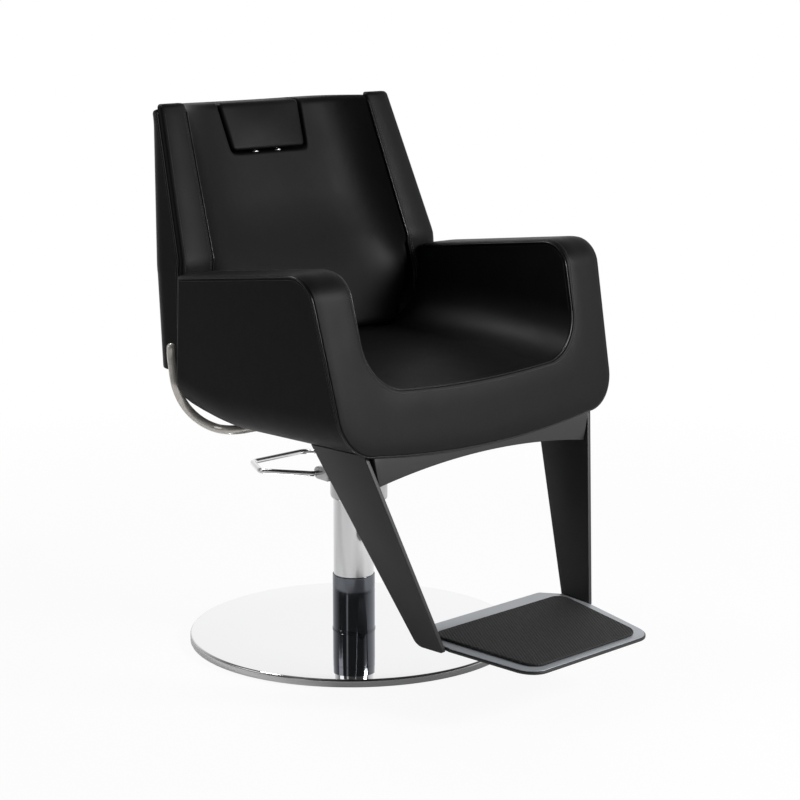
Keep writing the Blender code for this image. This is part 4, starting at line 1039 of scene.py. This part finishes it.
def cushion_grids():
    """Front and rear grid of the back cushion, by width and height, with a deep notch for the headrest.

    Columns and rows crowd at the notch's sides and floor. Edges and the notch's lip fall back as quarter
    rounds, and inside the notch the front drops almost to the rear.
    """
    low, top = CUSHION_LOW, BACK_TOP - 0.005
    near = np.array([-9, -6, -4.5, -3.2, -2.2, -1.4, -0.8, -0.3, 0.0, 0.5, 1.5, 4.0]) / 1000
    z = join(
        low + np.array([0.0004, 0.002, 0.005, 0.010, 0.016, 0.024]),
        np.linspace(low + 0.034, NOTCH_FLOOR - 0.012, 40), NOTCH_FLOOR + near,
        np.linspace(NOTCH_FLOOR + 0.008, top - 0.014, 9),
        top - np.array([0.010, 0.0065, 0.004, 0.002, 0.0008, 0.0001]))[:, None]
    notch = headrest_half(np.maximum(z, NOTCH_FLOOR)) + 0.005
    half = cushion_half(z)
    inside = np.linspace(1, 0, 12)[None, 1:]
    outside = np.linspace(0, 1, 24)[None, :-1]
    far = half - np.array([0.010, 0.007, 0.0045, 0.0025, 0.001, 0.0])
    x = join(
        far[:, ::-1], half - 0.012 - (half - 0.012 - notch - 0.011) * outside, notch - near[None],
        (notch - 0.006) * inside, axis=1)
    x = join(x, -x[:, -2::-1], axis=1)
    z = z + 0 * x
    front = cushion_face(x, z)
    edge = np.where(z > 0.70, 0.0030, 0.012)
    fall = np.sqrt(roll(half - np.abs(x), edge) ** 2 + roll(z - low, 0.014) ** 2 + roll(top - z, 0.010) ** 2)
    aside, above, bend = notch - np.abs(x), z - NOTCH_FLOOR, 0.012
    corner = bend - np.hypot(bend - aside, bend - above)
    depth = np.where((aside < bend) & (above < bend), corner, np.minimum(aside, above))
    lip = roll(-depth, 0.0040) * (depth <= 0)
    rear = cushion_rear(x, z)
    floor = rear - 0.0022
    front = np.minimum(front + np.maximum(fall, lip), floor)
    front = front + (floor - front) * ramp(depth, 0.0005)
    z = z + 0.004 * (np.abs(x) / half) ** 3 * ramp(z - top + 0.05, 0.05)
    return np.stack([x, front, z], -1), np.stack([x, rear, z], -1)


def headrest_grids():
    """Front and rear grid of the headrest pad: a crowned front with round edges, its rear along the notch."""
    crowd = np.array([0.0002, 0.0012, 0.003, 0.0055, 0.009, 0.013])
    low, top = HEADREST_LOW, HEADREST_TOP
    z = join(low + crowd, np.linspace(low + 0.019, top - 0.019, 12), top - crowd[::-1])[:, None]
    half = headrest_half(z) - roll(z - low, 0.010) - roll(top - z, 0.008)
    x = join(-half + crowd, np.linspace(-1, 1, 30)[None] * (half - 0.018), half - crowd[::-1], axis=1)
    z = z + 0 * x
    fall = np.sqrt(roll(half - np.abs(x), 0.006) ** 2 + roll(z - low, 0.006) ** 2 + roll(top - z, 0.007) ** 2)
    plump = (1 - (x / half) ** 2) * (1 - ((2 * z - low - top) / 0.085) ** 2 * 0.6)
    face = cushion_front(z) - 0.001 - 0.0055 * plump + fall
    return np.stack([x, face, z], -1), np.stack([x, cushion_rear(x, z) - 0.0042, z], -1)


# Points of the cover's plan: which are on its side, its corner arc and its rear, and how far along each
COVER_PART = np.repeat([0, 1, 2], [8, 12, 25])
COVER_SHARE = join(np.linspace(0, 1, 9)[:-1], quarter(12), np.linspace(1, 0, 26)[1:])


def by_part(side, corner, rear):
    """Values of the cover's plan, each part with its own."""
    return np.select([COVER_PART == 0, COVER_PART == 1], [side, corner], rear)


def cover_curve(z, inset):
    """Plan of the back cover at heights z: side, corner arc, rear bowed by the fourth power of the width."""
    out, size = wing_out(z) - inset, side_round(z) - inset
    rear, middle = rear_side(z) - inset, rear_middle(z) - inset
    start, u = wing_front(z) + COVER_START, COVER_SHARE
    x = by_part(out, out - size + size * np.cos(u), (out - size) * u)
    bow = middle - (middle - rear) * u**4
    return x, by_part(start + (rear - size - start) * u, rear - size + size * np.sin(u), bow)


def cover_lip(z):
    """Plan of the line where the cover's lid meets wings and cushion, point by point with cover_curve."""
    out, back = wing_out(z) - COVER_WALL, wing_back(z) + GAP
    start, u = wing_front(z) + COVER_START, COVER_SHARE
    flat = wing_out(z) - side_round(z)
    x = by_part(out, out + (flat - out) * u / (0.5 * math.pi), flat * u)
    rear = np.where(np.abs(x) > wing_in(z), back, cushion_rear(x, z) + GAP)
    return x, by_part(start + (back - start) * u, back, rear)


def lid_height(y):
    """Height of the cover's lid, which falls evenly from the wings to the rear."""
    step, slope, start = 0.0047, 0.24, 0.009
    return BACK_TOP - step - slope * (y - wing_front(BACK_TOP) - start)


def lid_line(plan):
    """A plan line raised to the lid: its heights and places, settled by three rounds."""
    z = np.full((1, len(COVER_SHARE)), BACK_TOP - 0.01)
    for _ in range(3):
        x, y = plan(z)
        z = lid_height(y)
    return x, y, z


def cover_grids():
    """Outer and inner grid of the back cover: its plan carried up the back, then over to a sloping lid."""
    edge_x, edge_y, edge_z = lid_line(lambda z: cover_curve(z, 0.0))
    lip_x, lip_y, _ = lid_line(cover_lip)
    edge, draw, bend, near = 0.004, 0.0045, 0.007, 0.10
    rise = join([0.0, 0.002, 0.006, 0.012], np.linspace(0.024, 1, 48))[:, None]
    z = BACK_LOW + (edge_z - bend - BACK_LOW) * rise
    hem = roll(z - BACK_LOW, edge) / edge * draw
    x, y = cover_curve(z, 0.0)
    x, y = x * (1 - hem), y * (1 - hem)
    x_in, y_in = cover_curve(z, COVER_WALL)
    angle = quarter(7)[1:, None]
    share = join(near * (1 - np.cos(angle)), np.linspace(near, 1, 8)[1:, None])
    lid_x, lid_y = edge_x + (lip_x - edge_x) * share, edge_y + (lip_y - edge_y) * share
    down = join(bend * (1 - np.sin(angle)), np.zeros((7, 1)))
    lid_z = lid_height(lid_y) - down
    inner_x, inner_y = cover_curve(edge_z, COVER_WALL)
    hid_x, hid_y = inner_x + (lip_x - inner_x) * share, inner_y + (lip_y - inner_y) * share
    outer = (x, lid_x), (y, lid_y), (z, lid_z)
    inner = (x_in, hid_x), (y_in, hid_y), (z, lid_z - COVER_WALL)
    return [mirrored(*(join(*pair) for pair in grid)) for grid in (outer, inner)]


def wing_swell(s):
    """How far a wing's front stands out, across it from -1 at one edge to 1 at the other."""
    return WING_SWELL * (1 - s**2) ** 0.8


def wing_rings(side):
    """Rings of one wing: a plump front strip with round edges and a tongue that reaches back to the cover."""
    low, top, end = BACK_LOW, BACK_TOP + WING_RISE, 0.007
    levels, across = 40, 13
    rise, draw = end * (1 - np.cos(quarter(6))), end * (1 - np.sin(quarter(6)))
    z = join(low + rise, np.linspace(low + 0.02, top - 0.02, levels), (top - rise)[::-1])
    inset = join(draw, np.zeros(levels), draw[::-1])[:, None, None]
    level = z[:, None]
    out, inner = wing_out(level), wing_in(level) + GAP
    front, back = wing_front(level), wing_back(level) - GAP
    wall, lip = out - 0.0108, front + 0.0090
    s = np.linspace(-0.82, 0.82, across)[None]
    face_x = 0.5 * (out + inner) + 0.5 * (out - inner) * s
    face_y = front - wing_swell(s)
    x = join(face_x, out, out, wall, wall, inner, inner, axis=1)
    y = join(face_y, front, lip, lip, back, back, front, axis=1)
    radii = join(np.zeros(across), [0.004, 0.0006, 0.0006, 0.001, 0.001, 0.003])
    flat = round_corners(np.stack([x, y], -1), radii, 5)
    centre = np.stack([0.5 * (out + inner), front + 0.008 + 0 * out], -1)
    away = flat - centre
    size = np.linalg.norm(away, axis=-1, keepdims=True)
    flat = flat - away * np.minimum(inset / np.maximum(size, 1e-6), 0.6)
    return raised(flat * np.array([side, 1.0]), z)


# Operators


class CHAIR_OT_rim_band(bpy.types.Operator):
    """Upholstered band over the arms and round the front, with its piping and stitching"""

    bl_idname = "chair.rim_band"
    bl_label = "Arm and Front Band"

    def execute(self, context):
        outer, inner, normal, inset = band_lines()
        band = lofted("arm_and_front_band", band_rings(outer, inner, normal, inset), 60.0)
        upholster(band, "seat", "rim_band")
        width = np.linalg.norm(inner - outer, axis=-1, keepdims=True)
        across = (inner - outer) / width
        keep = slice(6, len(outer) - 6)
        piping("band_outer_piping", (outer - across * 0.0004 - normal * 0.0037)[keep], normal[keep], "seat")
        piping("band_inner_piping", (inner + across * 0.0004 - normal * 0.0039)[keep], normal[keep], "seat")
        distance = 0.0065
        crown = sizes().band_crown * (1 - (2 * (width - distance) / width - 1) ** 4)
        stitches("band_stitching", [
            ((inner - across * distance + normal * crown)[keep], normal[keep]),
            ((inner - normal * 0.0095)[keep], across[keep]),
            ((outer - normal * 0.0090)[keep], -across[keep])], "seat")
        return {"FINISHED"}


class CHAIR_OT_seat(bpy.types.Operator):
    """Upholstered seat that runs up the inside of both arms"""

    bl_idname = "chair.seat"
    bl_label = "Seat"

    def execute(self, context):
        seat = shell("seat_upholstery", *seat_grids(), 70.0)
        upholster(seat, "seat", "seat_liner")
        return {"FINISHED"}


class CHAIR_OT_side_panels(bpy.types.Operator):
    """Upholstered panels on the outside of the arms"""

    bl_idname = "chair.side_panels"
    bl_label = "Side Panels"

    def execute(self, context):
        for side, tag in SIDES:
            panel = shell(f"side_panel_{tag}_leather", *panel_grids(side), 70.0)
            upholster(panel, "seat", f"side_panel_{tag}")
        return {"FINISHED"}


class CHAIR_OT_back(bpy.types.Operator):
    """Back cushion, its two wings and the cover behind them"""

    bl_idname = "chair.back"
    bl_label = "Backrest"

    def execute(self, context):
        cushion = shell("back_cushion_leather", *cushion_grids(), 70.0)
        upholster(cushion, "backrest", "back_cushion")
        cover = shell("back_cover_leather", *cover_grids(), 60.0)
        upholster(cover, "backrest", "back_cover")
        rows = []
        z = np.linspace(arm_top(REAR_Y) - 0.10, BACK_TOP - 0.012, 60)
        out, inner, front = wing_out(z), wing_in(z), wing_front(z)
        for side, tag in SIDES:
            wing = lofted(f"back_wing_{tag}_leather", wing_rings(side), 60.0)
            upholster(wing, "backrest", f"back_wing_{tag}")
            cord = np.stack([side * (out - 0.0004), front + 0.0092, z], -1)
            piping(f"wing_piping_{tag}", cord, (side, 0, 0), "backrest")
            cord = np.stack([side * (inner + 0.0004), front + 0.0002, z], -1)
            piping(f"wing_inner_piping_{tag}", cord, (side, 0, 0), "backrest")
            seam = np.stack([side * (out + 0.0001), front + 0.0150, z], -1)
            rows.append((seam, (side, 0, 0)))
            for gap in (0.0055, 0.0090, out - inner - 0.0065):
                s = (inner + gap - 0.5 * (inner + out)) / (0.5 * (out - inner))
                seam = np.stack([side * (inner + gap), front - wing_swell(s), z], -1)
                rows.append((seam, (0, -0.94, 0.33)))
        stitches("wing_stitching", rows, "backrest")
        return {"FINISHED"}


class CHAIR_OT_headrest(bpy.types.Operator):
    """Headrest pad and its two chromed posts"""

    bl_idname = "chair.headrest"
    bl_label = "Headrest"

    def execute(self, context):
        pad = shell("headrest_leather", *headrest_grids(), 70.0)
        upholster(pad, "headrest", "headrest_pad")
        for _, tag in SIDES:
            low, high = (np.array(corner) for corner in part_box(f"headrest_post_{tag}"))
            radius = 0.5 * (high[0] - low[0])
            slope = np.array([0.0, BACK_SLOPE, 1.0]) / math.hypot(1, BACK_SLOPE)
            first = np.array(
                [0.5 * (low[0] + high[0]), low[1] + radius * slope[2], low[2] + radius * slope[1]])
            span = (high[2] - low[2] - 2 * radius * slope[1]) / slope[2]
            line = first + slope * np.linspace(0, span, 4)[:, None]
            post = swept_tube(f"post_{tag}", line, radius, (1, 0, 0), 24, dome=2)
            dress(post, chrome_finish(), "headrest", [f"headrest_post_{tag}"])
        return {"FINISHED"}


class CHAIR_OT_base(bpy.types.Operator):
    """Polished base disc, the column and its lower sleeve"""

    bl_idname = "chair.base"
    bl_label = "Base and Column"

    def execute(self, context):
        radius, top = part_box("base_cover")[1].x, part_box("base_cover")[1].z
        edge, skin = 0.004, 0.0015
        rim = np.stack([
            radius - edge + edge * np.cos(quarter(10)), top - edge + edge * np.sin(quarter(10))], -1)
        disc = turned("base_disc", [
            (0, top - skin), (radius - edge, top - skin), (radius - skin, top - edge), (radius - skin, skin),
            (radius, skin), *rim, (0.6 * radius, top), (0.3 * radius, top), (0, top)], 256)
        dress(disc, disc_finish(top), "base", ["base_cover"])
        low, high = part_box("column_sleeve")
        inner, outer, foot = 0.0373, 0.0388, 0.0008
        groove, sunk = low.z + 0.70 * (high.z - low.z), 0.0007
        sleeve = turned("column_lower_sleeve", [
            (inner, low.z), (outer + foot, low.z), (outer + foot, low.z + 0.002), (outer, low.z + 0.003),
            (outer, low.z + 0.004), (outer, groove - 0.0006), (outer, groove),
            (outer - sunk, groove + 0.0006), (outer - sunk, groove + 0.0024), (outer, groove + 0.003),
            (outer, groove + 0.0036), (outer, high.z - 0.0018), (outer, high.z - 0.001),
            (outer - 0.0003, high.z - 0.0003), (outer - 0.001, high.z), (inner, high.z)], 128)
        dress(sleeve, dark_chrome_finish(), "base", ["column_sleeve"])
        low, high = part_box("column_tube")
        bore = high.x - 0.0023
        tube = turned("column_chrome_tube", [
            (bore, low.z), (high.x, low.z), (high.x, high.z), (bore, high.z)], 128)
        dress(tube, chrome_finish(), "seat", ["column_tube"])
        return {"FINISHED"}


class CHAIR_OT_pump(bpy.types.Operator):
    """Cast pump head, its lugs and the loop of the foot pedal"""

    bl_idname = "chair.pump"
    bl_label = "Pump and Pedal"

    def execute(self, context):
        low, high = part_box("pump_head")[0].z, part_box("pump_head")[1].z
        radius, nose, nose_half = 0.042, 0.062, 0.033
        start = -math.acos(nose_half / radius)
        angle = np.linspace(start, math.pi - start, 48)
        back = np.stack([radius * np.cos(angle), radius * np.sin(angle)], -1)
        front = round_corners(
            [back[-1], (-nose_half, -nose), (nose_half, -nose), back[0]], [0.001, 0.012, 0.012, 0.001], 8)
        turn = quarter(8)
        shrink = join([0.5], 0.88 + 0.12 * np.sin(turn), [1.0, 1.0])
        level = join([low], low + 0.008 * (1 - np.cos(turn)), [0.5 * (low + high), high])
        rings = raised(join(back[1:-1], front)[None] * shrink[:, None, None], level)
        dress(lofted("pump_casting", rings, 50.0), casting_finish(), "seat", ["pump_head"])
        root, tip = 0.030, PIN_Y + 0.011
        lug = round_corners(
            [(root, PIN_Z - 0.013), (tip, PIN_Z - 0.011), (tip, PIN_Z + 0.011), (root, PIN_Z + 0.013)],
            [0.001, 0.0105, 0.0105, 0.001], 10)
        for side, tag in SIDES:
            ring = slab_rings(lug, side * 0.031 - 0.005, side * 0.031 + 0.005, 0.0012)
            made = lofted(f"pedal_lug_{tag}", ring[..., [2, 0, 1]], 40.0)
            dress(made, casting_finish(), "seat")
        reach = 0.150
        half = np.array([(0.047, PIN_Y), (0.101, PIN_Y + 0.56 * reach), (0.064, PIN_Y + reach)])
        loop = round_corners(
            join(half * (-1, 1), half[::-1]), [0.008, 0.016, 0.018, 0.018, 0.016, 0.008], 9)
        path = join(loop, np.full((len(loop), 1), PIN_Z), axis=-1)
        pedal = swept_tube("pedal_loop", path, 0.005, (0, 0, 1), 20, closed=True)
        dress(pedal, chrome_finish(), "pedal", ["pump_pedal"])
        return {"FINISHED"}


class CHAIR_OT_footrest(bpy.types.Operator):
    """Painted legs and arch, the satin footplate and its patterned mat"""

    bl_idname = "chair.footrest"
    bl_label = "Footrest"

    def execute(self, context):
        self.legs()
        self.plate()
        self.arch()
        return {"FINISHED"}

    def legs(self):
        """Two slabs drawn in the side plane, which lean out and run up to the tub's underside."""
        low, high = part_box("footrest_leg_left")
        lean, thick, foot = 0.280, 0.008, 0.188
        slant = math.hypot(1, lean)
        toe, rear, front = -0.411, -0.196, -0.322
        top = TUB_Z + 0.0014
        share = (top - high.z) / (high.z - low.z)
        outline = round_corners([
            (rear + (rear - HEEL_Y) * share, top), (HEEL_Y, low.z), (toe, low.z),
            (front + (front - toe) * share, top)], [0.0005, 0.020, 0.006, 0.0005], 8)
        ring = slab_rings(outline, 0.0, thick, 0.0011)
        x = foot + lean * (ring[..., 1] - low.z) - thick * slant + ring[..., 2] * slant
        for side, tag in SIDES:
            leg = lofted(f"leg_{tag}", np.stack([side * x, ring[..., 0], ring[..., 1]], -1), 35.0)
            dress(leg, paint_finish(), "seat", [f"footrest_leg_{tag}"])

    def plate(self):
        """Three slabs over each other: the painted plate, its satin rim and the mat."""
        wide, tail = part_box("footplate")[1].x, 0.1806
        corners = [(0.152, -0.577), (wide, -0.417), (tail, -0.412), (tail, HEEL_Y), (0.150, -0.318)]
        plate = self.outline(corners, [0.040, 0.003, 0.003, 0.010, 0.010], 10)
        body = slab_rings(plate, 0.1067, 0.1115, 0.0012)
        dress(self.tipped("footplate_body", body), paint_finish(), "seat", ["footplate"])
        strip = slab_rings(slab_rings(plate, 0.0, 0.0, 0.0020)[0, :, :2], 0.1116, 0.1127, 0.0005)
        dress(self.tipped("footplate_rim", strip), satin_steel_finish(), "seat")
        mat = self.outline([(0.132, -0.563), (0.166, -0.357)], [0.030, 0.022], 12)
        mat = self.tipped("patterned_mat", slab_rings(mat, 0.1130, 0.1180, 0.0022))
        dress(mat, mat_finish(), "seat", ["foot_mat"])

    def arch(self):
        """Upright slab between the legs: a parabola below, and the curve of the tub's front above."""
        low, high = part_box("arch_panel")
        half = np.linspace(high.x - 0.012, -high.x + 0.012, 60)
        curve = np.stack([half, low.z + 0.021 * (1 - (half / half[0]) ** 2)], -1)
        x = np.linspace(-high.x, high.x, 40)
        under = np.stack([x, TUB_Z - 0.0012 - 0.017 * (1 - (x / 0.264) ** 2)], -1)
        ring = slab_rings(join(under, curve), low.y, high.y, 0.0010)
        arch = lofted("front_arch", ring[..., [0, 2, 1]], 35.0)
        dress(arch, paint_finish(), "seat", ["arch_panel"])

    def outline(self, corners, radii, steps):
        """Outline of a plate alike on both sides, from the corners of its left half and their radii."""
        half = np.array(corners)
        return round_corners(join(half, half[::-1] * (-1, 1)), [*radii, *radii[::-1]], steps)

    def tipped(self, name, rings):
        """A flat piece of the footplate, lowered in proportion towards the front."""
        rings = rings.copy()
        rings[..., 2] -= PLATE_SLOPE * (PLATE_Y - rings[..., 1])
        return lofted(name, rings, 35.0)


class CHAIR_OT_lever(bpy.types.Operator):
    """Bent chrome lever that frees the backrest"""

    bl_idname = "chair.lever"
    bl_label = "Recline Lever"

    def execute(self, context):
        # Bends from the grip down to the foot, each coordinate as a share of its span
        bends = np.array([
            (1.0, 0.998, 1.0), (1.0, 1.0, 0.906), (1.0, 0.976, 0.782), (1.0, 0.950, 0.658),
            (1.0, 0.911, 0.548), (0.985, 0.895, 0.431), (0.960, 0.864, 0.299), (0.935, 0.792, 0.190),
            (0.910, 0.680, 0.102), (0.889, 0.531, 0.041), (0.869, 0.389, 0.007), (0.853, 0.186, 0.0),
            (0.821, 0.063, 0.0), (0.777, 0.012, 0.0), (0.725, 0.0, 0.0), (0.448, 0.0, 0.0)])
        span, foot = (-0.324, 0.1042, 0.1392), (0.0, 0.0095, 0.4252)
        path = smooth_path(bends * span + foot, 160)
        rod = swept_tube("recline_rod", path, 0.008, carried_normals(path), 24)
        dress(rod, satin_chrome_finish(), "lever", ["recline_lever"])
        return {"FINISHED"}


class CHAIR_OT_frame_finishes(bpy.types.Operator):
    """Finishes of the steel, wood and rubber pieces that keep their CAD shape"""

    bl_idname = "chair.frame_finishes"
    bl_label = "Frame Finishes"

    def execute(self, context):
        kinds = {
            "black_paint": paint_finish(), "chrome": chrome_finish(), "bare_steel": bare_steel_finish(),
            "bronze": bronze_finish(), "plywood": plywood_finish(), "rubber": rubber_finish(),
            "dark_chrome": dark_chrome_finish(), "grey_metal": casting_finish()}
        for part in frame["record"]["subparts"]:
            node = frame["nodes"][part["node"]]
            if not node.hide_render:
                node.material_slots[0].material = kinds[part["material_slot"]]
        return {"FINISHED"}


class CHAIR_OT_stage(bpy.types.Operator):
    """Pale floor, soft studio light, white surroundings and the camera"""

    bl_idname = "chair.stage"
    bl_label = "Stage"

    def execute(self, context):
        scene = context.scene
        scene.view_settings.view_transform = "Standard"
        self.floor()
        self.world(scene)
        for name, setting in LAMPS.items():
            self.lamp(f"{name}_light", getattr(scene.chair_light, name), *setting)
        self.camera(scene)
        return {"FINISHED"}

    def floor(self):
        """Pale ground that keeps the shadow. Metal sees it white behind the chair and dark before it."""
        corners = np.array([[-1, -1, 0], [1, -1, 0], [1, 1, 0], [-1, 1, 0]]) * 9.0 - np.array([0, 0, 0.0004])
        made = piece("studio_floor", corners, [[0, 1, 2, 3]])
        m = Finish("pale_floor")
        m.tint(m.noise(0.7), colours().floor, 0.99, 1.01)
        m.set(roughness=0.8)
        camera, glossy, through = m.rays()
        far = m.node("ShaderNodeVectorMath", {"operation": "LENGTH"}, {0: m.place()}, out="Value")
        edge = ((far - 0.9) / 1.3).clamped()
        bright = 0.25 + m.dot(m.place(), BEHIND) * 0.60 + m.dot(m.place(), ASIDE) * 0.22
        bright = bright.most(DIM).least(1.0)
        seen = (camera * (0.93 + 0.07 * edge)).most(glossy.most(through) * bright)
        glow = m.node("ShaderNodeEmission", inputs={"Color": (1, 1, 1), "Strength": 1.0})
        plain = Value(m.tree, m.shader.outputs[0])
        surface = m.node("ShaderNodeMixShader", inputs={0: seen, 1: plain, 2: glow})
        m.feed(m.tree.nodes["Material Output"].inputs["Surface"], surface)
        made.data.materials.append(m.material)

    def world(self, scene):
        """White for the camera. Metal sees white behind the chair, and dark with one pale strip before it."""
        scene.world = bpy.data.worlds.new("white_studio")
        scene.world.use_nodes = True
        w = Nodes(scene.world.node_tree)
        even = w.tree.nodes["Background"]
        w.feed(even.inputs["Strength"], scene.chair_light.world)
        w.feed(even.inputs["Color"], (1, 1, 1))
        spot = w.node("ShaderNodeTexCoord", out="Generated")
        behind, across = w.dot(spot, BEHIND), w.dot(spot, ASIDE)
        strip_place, strip_half, strip_light = -0.57, 0.10, 0.7
        strip = (1.0 - abs(across - strip_place) / strip_half).most(0.0) * (behind * -4.0).clamped()
        high = ((w.node("ShaderNodeSeparateXYZ", inputs={0: spot}, out="Z") - 0.38) / 0.3).clamped()
        bright = (0.32 + (behind * 0.70 + across * 0.20)).most(DIM).most(strip * strip_light).least(1.0)
        bright = bright * (1.0 - 0.8 * high)
        camera, glossy, through = w.rays()
        white = w.node("ShaderNodeBackground", inputs={
            "Color": (1, 1, 1), "Strength": camera.most(through).most(glossy * bright)})
        mix = w.node("ShaderNodeMixShader", inputs={
            0: camera.most(glossy).most(through), 1: Value(w.tree, even.outputs[0]), 2: white})
        w.feed(w.tree.nodes["World Output"].inputs["Surface"], mix)

    def lamp(self, name, watts, place, target, size):
        """Square lamp at its place, turned to its target."""
        data = bpy.data.lights.new(name, "AREA")
        data.energy = watts
        data.size = size
        made = bpy.data.objects.new(name, data)
        made.location = place
        made.rotation_euler = (Vector(target) - Vector(place)).to_track_quat("-Z", "Y").to_euler()
        bpy.context.scene.collection.objects.link(made)

    def camera(self, scene):
        """The photo's camera, turned about Z and tipped down by its rise."""
        turn, rise = CAMERA_TURN, CAMERA_RISE
        back = Vector((math.sin(turn) * math.cos(rise), -math.cos(turn) * math.cos(rise), math.sin(rise)))
        data = bpy.data.cameras.new("photo_camera")
        data.lens = CAMERA_LENS
        data.sensor_width = 36.0
        made = bpy.data.objects.new("photo_camera", data)
        made.location = CAMERA_PLACE
        made.rotation_euler = (-back).to_track_quat("-Z", "Y").to_euler()
        scene.collection.objects.link(made)
        scene.camera = made


class CHAIR_PT_panel(bpy.types.Panel):
    """Sidebar panel that lists the chair's pieces, sizes and colours"""

    bl_idname = "CHAIR_PT_panel"
    bl_label = "Barber Chair"
    bl_space_type = "VIEW_3D"
    bl_region_type = "UI"
    bl_category = "Barber Chair"

    def draw(self, context):
        for operator in OPERATORS:
            self.layout.operator(operator.bl_idname)
        for name, group in GROUPS.items():
            box = self.layout.box()
            for key in group.__annotations__:
                box.prop(getattr(context.scene, name), key)


GROUPS = {"chair_sizes": ChairSizes, "chair_colours": ChairColours, "chair_light": StageLight}
OPERATORS = (
    CHAIR_OT_rim_band, CHAIR_OT_seat, CHAIR_OT_side_panels, CHAIR_OT_back, CHAIR_OT_headrest, CHAIR_OT_base,
    CHAIR_OT_pump, CHAIR_OT_footrest, CHAIR_OT_lever, CHAIR_OT_frame_finishes, CHAIR_OT_stage)


def register():
    for group in GROUPS.values():
        bpy.utils.register_class(group)
    for key, group in GROUPS.items():
        setattr(bpy.types.Scene, key, bpy.props.PointerProperty(type=group))
    for kind in (*OPERATORS, CHAIR_PT_panel):
        bpy.utils.register_class(kind)


def unregister():
    for kind in (CHAIR_PT_panel, *reversed(OPERATORS)):
        bpy.utils.unregister_class(kind)
    for key in GROUPS:
        delattr(bpy.types.Scene, key)
    for group in reversed(GROUPS.values()):
        bpy.utils.unregister_class(group)


def main():
    register()
    for operator in OPERATORS:
        group, name = operator.bl_idname.split(".")
        getattr(getattr(bpy.ops, group), name)()


if __name__ == "__main__":
    main()
